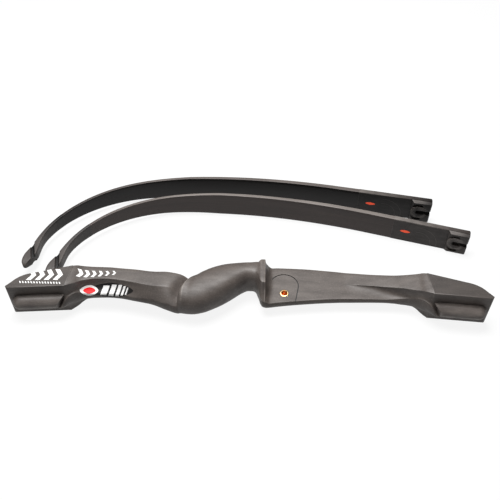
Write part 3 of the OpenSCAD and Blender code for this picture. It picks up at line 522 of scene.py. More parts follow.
ROWS += [
    (x_low + 7.6, 18.6, -9.6, -15, -10.4, arm + 5.4, 8.8, -8.4, -arm - 5, 0.95, 0, 0, 1.4),
    (x_low + 12, 20.2, -5.4, -12.2, -6.8, arm + 3.2, 7.2, -9.4, -arm - 3, 0.95, 0, 0, 2),
    (x_low + 18.2, 21.4, -1, -10.4, -3, arm + 1.2, 4, -8, -arm - 0.8, 0.9, 0, 0, 2.6),
    (low_arm(0.23), 22, 2.4, -9.8, 0.8, arm, 2.6, -6, -arm, 0.9, 0, 0, edge_r),
    (low_arm(0.35), 21.8, 3, -9.8, 1.4, arm, 3.5, -5, -arm, 0.75, 0, 0, edge_r),
    (low_arm(0.46), 20.6, 1.6, -11, 0.8, arm, 3.5, -4.5, -arm, 0.45, 0, 0, edge_r),
    (low_arm(0.6), 19.2, -1.6, -14.8, -1, arm, 3.5, -4, -arm, 0.2, 0, 0, edge_r),
    (low_arm(0.73), 17, -5, -17.8, -5, arm, 4.5, -4.5, -arm, 0, 0, 0, edge_r),
    (low_arm(0.785), 16.6, -6, -19, -6, arm, 5, -6, -arm, 0, 0, 0.05, edge_r),
    (low_arm(0.846), 17.2, -6.4, -21.8, -6.4, arm, 5, -7, -arm, 0, 0.05, 0.3, edge_r),
    (low_arm(0.892), 16.8, -6.4, -24, -6.4, arm - 0.4, 5, -8, -arm - 0.4, 0, 0.15, 0.6, edge_r),
    (low_arm(0.93), 16, -6.2, -25.4, -6.4, arm - 2, 4.6, -9, -arm - 1, 0, 0.25, 1.0, edge_r),
    (low_arm(0.96), 14.8, -6, -26.6, -6, arm - 5, 4, -9.6, -arm - 1.8, 0, 0.35, 1.3, edge_r),
    (low_arm(0.985), 13.4, -6, -27.2, -6, arm - 7.8, 3.6, -10, -arm - 2.6, 0, 0.5, 1.5, edge_r),
    (low_arm(0.997), 13, -6, -27.4, -6, arm - 8.8, 3.6, -10, -arm - 3, 0, 0.65, 1.58, edge_r),
    (-heel_x + 0.7, 13.4, -6, -27.6, -6, arm - 6.6, 4.6, -10, -grip + 0.8, 0, 0.9, 1.6, edge_r),
    (-heel_x + 2, 15.4, -5, -27.8, -5, arm - 1, 5.4, -9, -grip + 0.6, 0, 1, 1.55, edge_r),
    (-heel_x + 5, 18.4, -4, -28.6, -4, arm + 2.6, 6, -8, -grip + 0.4, 0, 1, 1.35, edge_r),
    (-heel_x + 10, 21.6, -2, -29.4, -2, grip - 1.8, 6, -6, -grip + 0.2, 0, 1, 1.05, edge_r),
    (-66, 25.2, 0, -30, 0, grip - 0.6, 6, -6, -grip, 0, 1, 0.65, edge_r),
    (-54, 30.4, 3, -27.6, 3, grip, 6, -6, -grip, 0, 1, 0.35, edge_r),
    (-42, 33.8, 6, -21.6, 6, grip, 6, -6, -grip, 0, 1, 0.15, edge_r),
    (-30, 36.4, 12, -13.8, 12, grip - 0.2, 6, -6, -grip, 0, 1, 0.05, edge_r),
    (-18, 37.6, 16, -3.6, 16, grip - 0.6, 6, -6, -grip, 0, 1, 0, edge_r),
    (-9, 38.2, 18, 4.6, 18, grip - 1, 6, -6, -grip, 0, 1, 0, edge_r),
    (-1, 38.6, 20, 9.2, 20, grip - 1.4, 6, -6, -grip, 0, 1, 0, edge_r),
    (shelf_x - 22.5, 39.4, 20, 9, 20, grip - 1.6, 6, -6, -grip, 0, 1, 0, edge_r),
    (shelf_x - 18.5, 40, 18, 5.8, 18, grip - 1.6, 6, -8, -grip, 0, 0.95, 0, 4),
    (shelf_x - 16.4, 39.6, 12, -1, 15, grip - 1.2, 4, -10, -grip, 0, 0.8, 0, 6),
    (shelf_x - 14.8, 40, 6, -5, 12, grip - 0.2, 3, -11, -grip, 0.2, 0.45, 0, 8),
    (shelf_x - 13.4, 40.3, 2, -9.4, 8, grip + 0.2, 2, -11.6, -grip, 0.4, 0.22, 0, 9),
    (shelf_x - 11.6, 40.4, 0, -12.8, 4, grip + 0.2, 1, -12, -grip, 0.5, 0.15, 0, 9),
    (shelf_x - 9.4, 40.4, 0, -14.4, 0, grip + 0.2, 0, -12, -grip, 0.5, 0.15, 0, 9),
    (shelf_x - 8, 40.6, 0, -14.7, -1, grip - 0.4, 0, -12, -grip, 0.4, 0.15, 0, 9),
    (shelf_x - 7.2, 41.4, 0, -14.7, -1, face + 15, -0.6, -12, -grip, 0.4, 0.1, 0, 7),
    (shelf_x - 6.4, 42, 2, -14.6, -1.4, face + 10.4, -1, -12, -grip, 0.3, 0.05, 0, 5),
    (shelf_x - 4.8, 42.6, 5, -14.5, -1.6, face + 5.8, -2.4, -12, -grip, 0.2, 0, 0, 3),
    (shelf_x - 2.4, 42.6, 10, -14.2, -2, face + 2, face + 0.2, -12, -grip, 0.2, 0, 0, edge_r),
    (shelf_x, 42.2, 14, -13.6, -2, face + 0.4, face + 0.1, -12.4, -grip, 0, 0, 0, edge_r),
    (shelf_x + 1.6, 42.2, 14, -13.3, -2, face, face, -12.4, -grip, 0, 0, 0, edge_r),
    (shelf_x + 6, 42.6, 16, -12.4, -1.5, face, face, -12.4, -grip, 0, 0, 0, edge_r),
    (shelf_x + 0.4 * window_len, 42, 16.6, -8.7, 1, face, face, -12, -grip, 0, 0, 0, edge_r),
    (shelf_x + 0.8 * window_len, 39.4, 16.8, -5.3, 5, face, face, -12, -grip + 1, 0, 0, 0, edge_r),
    (high_arm(0), 37.6, 16.7, -4.4, 6, face, face, -12, -grip + 2, 1, 0, 0, edge_r),
    (high_arm(0.15), 34.6, 15.2, -4.2, 5, face + 2.4, face, -11.6, -grip + 3, 1, 0, 0, edge_r),
    (high_arm(0.32), 31.5, 12.6, -4, 4.6, face + 4.8, face, -11.2, -arm - 0.6, 1, 0, 0, edge_r),
    (high_arm(0.46), 28.5, 9, -4, 5.6, face + 8, face, -11, -arm, 1, 0, 0, edge_r),
    (high_arm(0.6), 25.1, 5, -4, 4.8, face + 12, face + 1, -12, -arm, 1, 0, 0, edge_r),
    (high_arm(0.71), 22.6, 0.8, -4.4, 1.6, face + 16, face + 3, -13.4, -arm, 0.9, 0, 0, 2.6),
    (x_high - 18.8, 20.8, -4, -6.8, -3, face + 19.6, 3, -12.6, -arm - 0.4, 0.85, 0, 0, 2.2),
    (x_high - 12, 19.4, -7.2, -10.8, -6.4, flush - 5.2, 7.4, -11, -arm - 2.4, 0.9, 0, 0, 1.8),
    (x_high - 7.6, 18, -10.4, -14.8, -9.8, flush - 2.4, 8.8, -9.2, -arm - 4.8, 0.95, 0, 0, 1.4),
]
ROWS += [(x_high + out, *rest) for out, *rest in reversed(SHOULDER)]


def smooth_rows(rows, longest):
    """Rows no further apart than the longest step, on a curve that never swings past the given ones."""
    table = np.array(rows, float)
    steps = np.diff(table[:, 0])
    slopes = np.diff(table, axis=0) / steps[:, None]
    tangents = np.zeros_like(table)
    tangents[0], tangents[-1] = slopes[0], slopes[-1]
    with np.errstate(divide="ignore", invalid="ignore"):
        harmonic = 2 / (1 / slopes[:-1] + 1 / slopes[1:])
    tangents[1:-1] = np.where(slopes[:-1] * slopes[1:] > 0, harmonic, 0)
    found = []
    for i, h in enumerate(steps):
        n = max(1, math.ceil(h / longest))
        for k in range(n):
            t = k / n
            row = ((2 * t ** 3 - 3 * t ** 2 + 1) * table[i] + (t ** 3 - 2 * t ** 2 + t) * h * tangents[i]
                   + (3 * t ** 2 - 2 * t ** 3) * table[i + 1] + (t ** 3 - t ** 2) * h * tangents[i + 1])
            row[0] = table[i][0] + h * t
            found.append(row)
    found.append(table[-1])
    return found


def bezier(a, b, c, t):
    """A point on the curve from a to c that b pulls towards itself."""
    return (1 - t) ** 2 * np.array(a) + 2 * t * (1 - t) * np.array(b) + t ** 2 * np.array(c)


# Steps in each stretch of a section's outline: back corner, top or bottom, flank and belly edge
CORNER, TOP, SIDE, BELLY = 4, 5, 14, 5
belly_bulge = 1.4
crease_cut = 0.9
oval_power = 2.4
lean_from = -16
lean_reach = 80


def riser_ring(row):
    """Points round the riser at one place, from the back corner over the top to the belly and back."""
    at, back, crease_up, belly, crease_low, top, corner_up, corner_low, bottom = row[:9]
    hollow, oval, lean, back_r = row[9:]
    r = max(0.1, min(back_r, (back - max(crease_up, crease_low)) / 2))
    bulge = min(belly_bulge, (corner_up - corner_low) / 8)
    quarter = [math.pi / 2 * k / CORNER for k in range(CORNER + 1)]

    def flank(crease, corner, t):
        even = (np.array(crease) + np.array(corner)) / 2
        return bezier(crease, even * (1 - hollow) + np.array([crease[0], corner[1]]) * hollow, corner, t)

    ring = [(back - r + r * math.cos(a), top - r + r * math.sin(a)) for a in quarter]
    ring += [(back - r + (crease_up - back + r) * k / TOP, top) for k in range(1, TOP + 1)]
    ring += [flank((crease_up, top), (belly, corner_up), k / SIDE) for k in range(1, SIDE + 1)]
    ring += [(belly - bulge * math.sin(math.pi * k / BELLY), corner_up + (corner_low - corner_up) * k / BELLY)
             for k in range(1, BELLY)]
    ring += [flank((crease_low, bottom), (belly, corner_low), 1 - k / SIDE) for k in range(SIDE)]
    ring += [(crease_low + (back - r - crease_low) * k / TOP, bottom) for k in range(TOP)]
    ring += [(back - r + r * math.sin(a), bottom + r - r * math.cos(a)) for a in quarter]
    ring = np.array(ring)
    # The creases are rounded by about a millimetre, as a mould's are
    up = CORNER + TOP
    creases = {up, up + SIDE, up + SIDE + BELLY, up + 2 * SIDE + BELLY}
    eased_ring = []
    for k, p in enumerate(ring):
        if k not in creases:
            eased_ring.append(p)
            continue
        before, after = ring[k - 1] - p, ring[(k + 1) % len(ring)] - p
        a = p + before * min(0.45, crease_cut / max(np.linalg.norm(before), 1e-6))
        b = p + after * min(0.45, crease_cut / max(np.linalg.norm(after), 1e-6))
        eased_ring += [a, bezier(a, p, b, 0.5), b]
    # The more oval the section is, the nearer it is drawn to a rounded box of its own size
    centre = np.array([(back + belly) / 2, (top + bottom) / 2])
    half = np.array([(back - belly) / 2, (top - bottom) / 2])
    points = []
    for p in eased_ring:
        v = (p - centre) / half
        reach = (abs(v[0]) ** oval_power + abs(v[1]) ** oval_power) ** (1 / oval_power)
        y, z = p + (centre + half * v / max(reach, 1e-6) - p) * oval
        points.append((at + lean * max(0, y - lean_from) ** 2 / lean_reach, y, mid + z))
    return points


# Limb pockets in the end blocks, and the bolts and inserts in them
blade_w = 35.4
butt_wall = 0.3
fork_t = 11
slot_len = 16.5
limb_gap = 0.3
seat_gap = 0.1
# How far the cutting tools reach, well past the piece that they cut
past = 30
pocket_reach = 120
channel_depth = fork_t - 1
channel_wall = 2.5
channel_w = blade_w + 2 * butt_wall + 2 * limb_gap
bolt_u = channel_wall + limb_gap + slot_len
head_v = fork_t - channel_depth + limb_gap
insert_d = 9
insert_len = 9
bolt_d = 6
bolt_head_d = 15
bolt_head_h = 4.5
bolt_hex = 5

# From a point on the limb pad: x runs outwards along the pad, y out of its back, z across
on_pad = shift(back_in[0], back_in[1], mid) @ Matrix.Rotation(-pad_angle, 4, "Z")
upper_end = Matrix.Identity(4)
lower_end = Matrix.Scale(-1, 4, (1, 0, 0))


def on_bolt_axis(height):
    """A turned shape's place on the bolt's axis, at a height over the limb pad."""
    return on_pad @ shift(bolt_u, height, 0) @ Matrix.Rotation(-math.pi / 2, 4, "X")


def pocket_block(name, slack=0.0):
    """The space that a limb's butt slides into, open to the end and to the back."""
    return block(name, (channel_wall - slack, -channel_depth - slack, -channel_w / 2 - slack),
                 (pocket_reach, past, channel_w / 2 + slack))


def end_block():
    """One end of the riser: a shouldered block with the limb's pocket and the insert's bore."""
    # The last stretch of the limb pad curves over towards the block's outer corner
    curved = 14
    round_from = (back_out[0] - curved * math.cos(pad_angle), back_out[1] + curved * math.sin(pad_angle))
    round_over = (back_out[0] + 1.4, back_out[1] + 0.6)
    round_to = [back_out[i] + 0.55 * (end_corner[i] - back_out[i]) for i in (0, 1)]
    curve = [tuple(bezier(round_from, round_over, round_to, k / 8)) for k in range(9)]
    body = prism("end_block", [near_in, back_in] + curve + [end_corner, near_out], 0, block_w)
    worked(body, moved(pocket_block("pocket"), on_pad))
    eased(body, 0.7)
    r = insert_d / 2 + seat_gap
    floor = -insert_len - channel_depth
    bore = turned("bore", [(0.01, floor), (r, floor), (r, 5), (0.01, 5)], 48)
    return rimmed(worked(body, moved(bore, on_bolt_axis(0))))


def belly_rib():
    """The rib along a block's belly face, with a round outer end and a slanted inner one."""
    length, deep = block_len - rib_r - 2.6, rib_out - rib_r
    levels = [(1.0, rib_r), (-deep, rib_r)]
    for turn in range(8, 89, 8):
        levels.append((-deep - rib_r * math.sin(math.radians(turn)), rib_r * math.cos(math.radians(turn))))
    rings = []
    for y, half in levels:
        # The inner end slopes, and is rounded off towards the rib's crown
        slant = half * math.tan(rib_cut_angle)
        end = rib_from_shoulder - 4.6 + 0.55 * (1 - y) + 3.0 * (1 - half / rib_r) ** 1.3
        ring = [(end + slant + (length - end - slant) * k / 12, y, -half) for k in range(12)]
        for turn in range(0, 181, 10):
            a = math.radians(turn)
            ring.append((length + half * math.sin(a), y, -half * math.cos(a)))
        ring += [(end - slant + (length - end + slant) * k / 12, y, half) for k in range(11, -1, -1)]
        ring += [(end - slant * s, y, half * s) for s in (0.5, 0, -0.5)]
        rings.append(ring)
    on_belly = shift(near_in[0], near_in[1], mid) @ Matrix.Rotation(-belly_angle, 4, "Z")
    return moved(loft("rib", rings), on_belly)


bushing_x = shelf_x + 15.4
bushing_y = 2.2
bushing_d = 9
bushing_bottom = mid - grip + 0.3

# The fine line in the window: an arc whose middle is above the bushing, and a straight run
line_middle_y = bushing_y + 11.6
line_depth = 0.9
line_outer = 17.8
line_inner = 16.6
line_run = 24
line_tilt = math.radians(-10)


def window_line():
    """The fine line cut round the bushing: an arc that runs on as a straight line."""
    cx, cy, tilt = bushing_x, line_middle_y, line_tilt
    arc = [math.radians(a) for a in range(0, 152, 4)]
    outline = [(cx + line_outer * math.cos(a), cy + line_outer * math.sin(a)) for a in arc]
    outline += [(cx + line_inner * math.cos(a), cy + line_inner * math.sin(a)) for a in reversed(arc)]
    for x, y in ((line_inner, 0.5), (line_inner, -line_run), (line_outer, -line_run), (line_outer, 0.5)):
        outline.append((cx + x * math.cos(tilt) - y * math.sin(tilt),
                        cy + x * math.sin(tilt) + y * math.cos(tilt)))
    return prism("line", outline, window_z - line_depth, window_z + 3)


middle = loft("middle", [riser_ring(row) for row in smooth_rows(ROWS, 2.2)])
for end in (upper_end, lower_end):
    # Cut a little larger than the pocket, so that the middle doesn't show in the pocket's walls
    worked(middle, moved(pocket_block("hollow", 0.2), end @ on_pad))
bore_r = bushing_d / 2 + seat_gap
bore = turned("bore", [(0.01, -1), (bore_r, -1), (bore_r, 60), (0.01, 60)], 64)
worked(middle, moved(bore, shift(bushing_x, bushing_y, 0)), window_line())

high_block, high_rib = end_block(), belly_rib()
low_block = twin(high_block, "low_block", lower_end)
low_rib = twin(high_rib, "low_rib", lower_end)
riser = joined("riser_moulding", [middle, high_block, low_block, high_rib, low_rib])

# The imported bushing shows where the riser's own frame lies in the layout
bushing_low, bushing_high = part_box("plunger_bushing")
centre = (bushing_low + bushing_high) / 2
layout = Matrix.Translation((centre.x - bushing_x * MM, centre.y - bushing_y * MM, 0))

# Painted shade: the floor of the fine line round the bushing is drawn nearly black, the upper faces of
# the end blocks are drawn darker, and the upper half of the lower arm a little darker.
block_painted_shade = 0.36
arm_painted_shade = 0.12
x, y, z = (vertex_array(riser.data) / MM).T
round_line = np.hypot(x - bushing_x, y - line_middle_y) < line_run + 8
in_line = round_line & (np.abs(z - window_z + line_depth) < 0.05)
on_block = (z > block_w - 0.05) & (np.abs(x) > x_high - 6)
on_arm = (z > mid) * np.interp(x, [-heel_x - 20, -heel_x], [arm_painted_shade, 0])
keep_values(riser, "painted_shade", np.maximum.reduce([in_line, block_painted_shade * on_block, on_arm]))

# The grip and its collar are rubbed most, the end blocks and the upper arm little, the window not at
# all. The crowns of the ribs are paler too: partly rubbed, since the riser is laid down on them, and
# partly a painted highlight.
little_wear = 0.3
crown_wear_and_highlight = 0.8
on_window = (np.abs(z - window_z) < 1.2) & (x > shelf_x - 2) & (x < x_window + 20)
little = (np.abs(x) > x_high - 20) | (x > shelf_x)
share = np.where(on_window, 0, np.where(little, little_wear, 1))
out_of_face = (x_high - np.abs(x)) * math.sin(belly_angle) - (y - belly_y) * math.cos(belly_angle)
crown = np.clip((out_of_face - 0.5 * rib_out) / (0.45 * rib_out), 0, 1) * (np.abs(x) > x_high + 6)
moved(riser, layout)
mark_wear(riser, low=0.05, high=0.22, also=crown_wear_and_highlight * crown, share=share)
smoothed(riser)
riser.data.materials.append(riser_nylon)
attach(riser, "riser_body")
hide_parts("riser")

# Plunger bushing: a flanged brass sleeve with an inside thread, whose turns are drawn 1 mm apart
bushing_r = bushing_d / 2
flange_r = 5.15
flange_top = window_z + 0.4
thread_r = 3.45
thread_pitch = 1.0
rows = [(bushing_r, bushing_bottom), (bushing_r, window_z), (flange_r - 0.2, window_z),
        (flange_r, window_z + 0.12), (flange_r, flange_top - 0.1), (flange_r - 0.2, flange_top),
        (thread_r + 0.5, flange_top), (thread_r + 0.15, flange_top - 0.3)]
height = window_z - 0.2
while height > bushing_bottom + 0.8:
    rows += [(thread_r + 0.25, height - 0.25), (thread_r, height - 0.5)]
    height -= thread_pitch
rows.append((thread_r + 0.05, bushing_bottom))
bushing = turned("bushing_sleeve", rows, sides=72)
moved(bushing, layout @ shift(bushing_x, bushing_y, 0))
smoothed(bushing, 30)
bushing.data.materials.append(bushing_brass)
bushing.data.materials.append(thread_brass_brightened)
# The thread's faces take the brighter brass: painted reflection inside the bore
for polygon in bushing.data.polygons:
    from_axis = math.hypot(polygon.center.x - centre.x, polygon.center.y - centre.y)
    polygon.material_index = 1 if from_axis < (thread_r + 0.31) * MM else 0
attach(bushing, "riser_body")
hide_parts("plunger_bushing")


# Limb bolts and their threaded inserts, mirrored for the lower end


def bolt_insert(name, node, end):
    """A knurled brass insert, flush with the pocket's floor."""
    r_out, r_in, deep = insert_d / 2, bolt_d / 2 + seat_gap, insert_len - seat_gap
    groove = r_out - 0.5
    rows = [(r_in, 0), (r_out - 0.3, 0), (r_out, -0.3), (r_out, -1.6), (groove, -1.9), (groove, -2.4),
            (r_out, -2.7), (r_out, -deep + 2.4), (groove, -deep + 2.1), (groove, -deep + 1.6),
            (r_out, -deep + 1.3), (r_out, -deep + 0.3), (r_out - 0.3, -deep), (r_in, -deep)]
    insert = turned(name, rows, sides=72, flutes=24, flute_depth=0.25, fluted=(3, 7, 10))
    moved(insert, layout @ end @ on_bolt_axis(-channel_depth))
    smoothed(insert, 30)
    insert.data.materials.append(insert_brass)
    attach(insert, "riser_body")
    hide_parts(node)


def limb_bolt(name, node, body, end):
    """A socket-headed limb bolt with a fluted head and a threaded shank."""
    head_r, shank_r = bolt_head_d / 2, bolt_d / 2
    top, tail = bolt_head_h, -(head_v + channel_depth + insert_len - 1)
    rows = [(0.02, top), (head_r - 1.6, top), (head_r - 1.0, top - 0.15), (head_r - 0.3, top - 0.7),
            (head_r, top - 1.1), (head_r, 0.5), (head_r - 0.4, 0.1), (head_r - 0.9, 0),
            (shank_r + 0.3, 0), (shank_r, -0.3)]
    depth = -2.0
    while depth > tail + 1.6:
        rows += [(shank_r, depth), (shank_r - 0.35, depth - 0.5)]
        depth -= thread_pitch
    rows += [(shank_r, depth), (shank_r - 0.8, tail), (0.02, tail)]
    bolt = turned(name, rows, sides=96, flutes=24, flute_depth=0.45, fluted=(4, 5))
    socket_r = bolt_hex / math.sqrt(3)
    sixths = [math.pi / 3 * k for k in range(6)]
    levels = ((socket_r, top - 2.7), (socket_r, top - 0.5),
              (socket_r + 0.4, top + 0.1), (socket_r + 0.4, top + 3))
    worked(bolt, loft("socket", [[(r * math.cos(a), r * math.sin(a), h) for a in sixths] for r, h in levels]))
    moved(bolt, layout @ end @ on_bolt_axis(head_v))
    smoothed(bolt, 28)
    bolt.data.materials.append(bolt_steel)
    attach(bolt, body)
    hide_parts(node)


bolt_insert("upper_insert_knurled", "upper_bolt_insert", upper_end)
bolt_insert("lower_insert_knurled", "lower_bolt_insert", lower_end)
limb_bolt("upper_bolt_turned", "upper_limb_bolt", "upper_bolt", upper_end)
limb_bolt("lower_bolt_turned", "lower_limb_bolt", "lower_bolt", lower_end)


# Limbs, in their own frame: s runs from the butt to the tip, v towards the hollow side, z across.
# Lengths are in millimetres.

limb_len = 599
tip_w = 12.8
blade_t = 6.4
blade_t_thin = 3.8
taper_start = 328
butt_len = 97
fork_len = 27
fork_draft = 2
slot_w = 6.6
seat_d = 19
moat_w = 4.5
recurve_start = taper_start + 2
recurve_bend = recurve_start + 80
groove_s = limb_len - 27.5
groove_w = 5
groove_depth = 3
groove_angle = math.radians(26)
straight_len = butt_len + 33
butt_w = blade_w + 2 * butt_wall
butt_t = blade_t + 2 * butt_wall
limb_z = butt_w / 2
tip_start = groove_s - 62
curve_step = 4


def curvature(s):
    """How fast the limb turns at s, in radians for each millimetre."""
    if s < straight_len or s > limb_len:
        return 0.0
    stations = [straight_len, recurve_start, recurve_bend, limb_len]
    return float(np.interp(s, stations, [0.96, 1.34, 4.92, 8.5])) / 1000


curve_n = math.ceil(limb_len / curve_step)
headings = [0.0]
for i in range(1, curve_n + 1):
    headings.append(headings[-1] + curvature((i - 0.5) * curve_step) * curve_step)
places = [np.zeros(2)]
for i in range(1, curve_n + 1):
    turn = (headings[i - 1] + headings[i]) / 2
    places.append(places[-1] + curve_step * np.array([math.cos(turn), math.sin(turn)]))


def heading(s):
    """The way the limb points at s."""
    return float(np.interp(s, np.arange(curve_n + 1) * curve_step, headings))


def place(s):
    """The point on the limb's middle curve at s."""
    i = min(int(s // curve_step), curve_n - 1)
    return places[i] + (places[i + 1] - places[i]) * (s / curve_step - i)


def on_limb(s, v):
    """The point at s, and v off the middle curve."""
    return place(s) + v * np.array([-math.sin(heading(s)), math.cos(heading(s))])


def blade_width(s):
    """The blade's width at s: even, then tapering to the string groove."""
    if s < taper_start:
        return blade_w
    return blade_w + (tip_w - blade_w) * (s - taper_start) / (groove_s - taper_start)


def blade_thick(s):
    """The blade's thickness at s."""
    stations = [0, butt_len, taper_start, recurve_bend, limb_len]
    return float(np.interp(s, stations, [blade_t, blade_t, blade_t_thin + 0.4, blade_t_thin, blade_t_thin]))


def limb_ring(s, back, front, half, radius, across=8, through=3):
    """Points round the limb at s: a rectangle with rounded corners, from the hollow side round the top."""
    radius = min(radius, (back - front) / 2.2, half / 2.2)
    arcs = []
    for v, z, start in ((back, half, 0), (front, half, 90), (front, -half, 180), (back, -half, 270)):
        cv = v - radius if v == back else v + radius
        cz = z - radius if z == half else z + radius
        steps = [math.radians(start + a) for a in (0, 30, 60, 90)]
        arcs.append([(cv + radius * math.cos(a), cz + radius * math.sin(a)) for a in steps])
    ring = []
    for i, count in enumerate((through, across, through, across)):
        (v, z), (to_v, to_z) = arcs[i][-1], arcs[(i + 1) % 4][0]
        ring += arcs[i]
        ring += [(v + (to_v - v) * k / count, z + (to_z - z) * k / count) for k in range(1, count)]
    return [(*on_limb(s, v), limb_z + z) for v, z in ring]


samples = np.arange(0, limb_len + 0.25, 0.5)
sample_places = np.array([place(min(s, limb_len)) for s in samples])
sample_sides = np.array([[-math.sin(heading(s)), math.cos(heading(s))] for s in samples])


def mark_run(obj):
    """Keeps for each vertex its place along, through and across the limb, in millimetres, and gives
    the three back."""
    co = vertex_array(obj.data) / MM
    along, through = np.zeros(len(co)), np.zeros(len(co))
    # A part of the vertices at a time, which keeps the table of distances small
    for first in range(0, len(co), 2000):
        part = co[first:first + 2000, :2]
        best = np.linalg.norm(part[:, None, :] - sample_places[None], axis=2).argmin(axis=1)
        offset, side = part - sample_places[best], sample_sides[best]
        through[first:first + 2000] = np.einsum("ij,ij->i", offset, side)
        along[first:first + 2000] = samples[best] + offset[:, 0] * side[:, 1] - offset[:, 1] * side[:, 0]
    across = co[:, 2] - limb_z
    keep_values(obj, "run", np.column_stack([along, through, across]))
    return along, through, across


def facing_across(obj, least):
    """How much each vertex belongs to the two narrow edges of the limb, from 0 to 1."""
    return np.clip((np.abs(vertex_array(obj.data, "normal")[:, 2]) - least) / 0.3, 0, 1)


def limb_blade():
    """The laminated blade, from inside the moulded butt to the moulded tip."""
    stations = np.concatenate([[butt_len - 4], np.linspace(butt_len + 0.02, tip_start, 150)])
    rings = []
    for s in stations:
        half_t, half_w = blade_thick(s) / 2, blade_width(s) / 2
        rings.append(limb_ring(s, half_t, -half_t, half_w, 0.6))
    blade = loft("blade", rings)
    # The narrow edges are sanded pale, and less so towards the tip
    along = mark_run(blade)[0]
    paler = np.interp(along, [taper_start + 60, tip_start - 10], [1, 0.25])
    keep_values(blade, "edge", facing_across(blade, 0.45) * paler)
    return smoothed(blade, 50)


def butt_prism(name, outline, from_s, to_s):
    """An outline across the limb (v and z), drawn along it."""
    return loft(name, [[(s, v, z) for v, z in outline] for s in (from_s, to_s)])


def disc(name, s, radius, from_v, to_v):
    """A round plug through the limb."""
    steps = [2 * math.pi * k / 64 for k in range(64)]
    circle = [(s + radius * math.cos(a), limb_z + radius * math.sin(a)) for a in steps]
    return loft(name, [[(x, v, z) for x, z in circle] for v in (from_v, to_v)])


def limb_butt():
    """The moulded butt: a sleeve round the blade with a thick, slotted and hollowed block at its end."""
    under = -butt_t / 2
    top, slope, cheek = fork_t + under, 3.6, seat_d / 2 + moat_w
    butt = butt_prism("butt", [(under, 0.6), (under + 0.6, 0), (-under - 0.6, 0), (-under, 0.6),
                               (-under, butt_w - 0.6), (-under - 0.6, butt_w), (under + 0.6, butt_w),
                               (under, butt_w - 0.6)], 0, butt_len)
    thick = butt_prism("thick", [(0, 0.3), (butt_t / 2, 0.3), (top, fork_draft), (top, butt_w - fork_draft),
                                 (butt_t / 2, butt_w - 0.3), (0, butt_w - 0.3)], 0, fork_len)
    over = fork_len - slope - slope / (top - butt_t / 2 + 0.6)
    shape = prism("shape", [(-1, -1), (-1, top + 1), (over, top + 1), (fork_len - slope, top),
                            (fork_len, butt_t / 2 - 0.6), (fork_len, -1)], -1, butt_w + 1)
    worked(thick, shape, how="INTERSECT")
    worked(thick, disc("moat", slot_len, cheek, butt_t / 2 + 2.2, top + 5))
    # The seat and its throat stand in the hollow, a hair under the top, so that no two faces coincide
    seat = disc("seat", slot_len, seat_d / 2, 0, top - 0.02)
    throat = block("throat", (0.02, 0, limb_z - seat_d / 2), (slot_len, top - 0.02, limb_z + seat_d / 2))
    cheeks = block("cheeks", (0.02, 0, limb_z - cheek), (slot_len - 5, top - 0.04, limb_z + cheek))
    worked(butt, thick, seat, throat, cheeks, how="UNION")
    worked(butt, disc("slot_end", slot_len, slot_w / 2, -past, past),
           block("slot", (-2, -past, limb_z - slot_w / 2), (slot_len, past, limb_z + slot_w / 2)))
    # The corners of the end are cut off
    for v, size in ((top, 1), (under, 1.2)):
        half = size * math.sqrt(2)
        worked(butt, prism("corner", [(-half, v), (0, v - half), (half, v), (0, v + half)], -2, butt_w + 2))
    for z in (0, butt_w):
        half = math.sqrt(2)
        corner = [[(-half, v, z), (0, v, z - half), (half, v, z), (0, v, z + half)] for v in (-past, past)]
        worked(butt, loft("corner", corner))
    rimmed(eased(butt, 0.45, 25))
    along, through, across = mark_run(butt)
    sanded = facing_across(butt, 0.5) * (along > fork_len - 4)
    # The rim of the seat is drawn paler: partly polished by the bolt, partly a painted highlight on its edge
    from_rim = np.abs(np.hypot(along - slot_len, across) - seat_d / 2)
    rim = 0.9 * ((from_rim < 0.7) & (through > top - 1) & (along < fork_len))
    inner_end = 0.5 * (along > butt_len - 0.3)
    mark_wear(butt, low=0.15, high=0.5, also=np.maximum.reduce([sanded, rim, inner_end]))
    return smoothed(butt, 30)


root = blade_t_thin / 2 + butt_wall
# Each row of the tip: distance from the string groove, reach to the belly side and to the hollow
# side, and half its width
TIP = [
    (tip_start - groove_s, root, root, blade_width(tip_start) / 2 + butt_wall),
    (-50, root, root, blade_width(groove_s - 50) / 2 + butt_wall),
    (-38, root, root + 0.3, blade_width(groove_s - 38) / 2 + butt_wall),
    (-28, root, root + 0.8, tip_w / 2 + 1.4),
    (-19, root, root + 1.8, tip_w / 2 + 0.9),
    (-12, root, root + 3, tip_w / 2 + 0.5),
    (-6, root + 0.2, root + 4.2, tip_w / 2 + 0.3),
    (0, root + 0.8, root + 5.2, tip_w / 2 + 0.1),
    (5, root + 2, root + 5.8, tip_w / 2),
    (10, root + 3.4, root + 5.2, tip_w / 2),
    (15, root + 4.1, root + 3.7, tip_w / 2 - 0.2),
    (18, root + 4.3, root + 2.3, tip_w / 2 - 0.5),
    (21, root + 4.3, root + 0.7, tip_w / 2 - 1.1),
    (24, root + 3.4, root - 0.9, tip_w / 2 - 2.1),
    (26.2, root + 2, root - 1.8, tip_w / 2 - 3.3),
    (27.5, root + 0.6, root - 2.1, tip_w / 2 - 4.6),
]


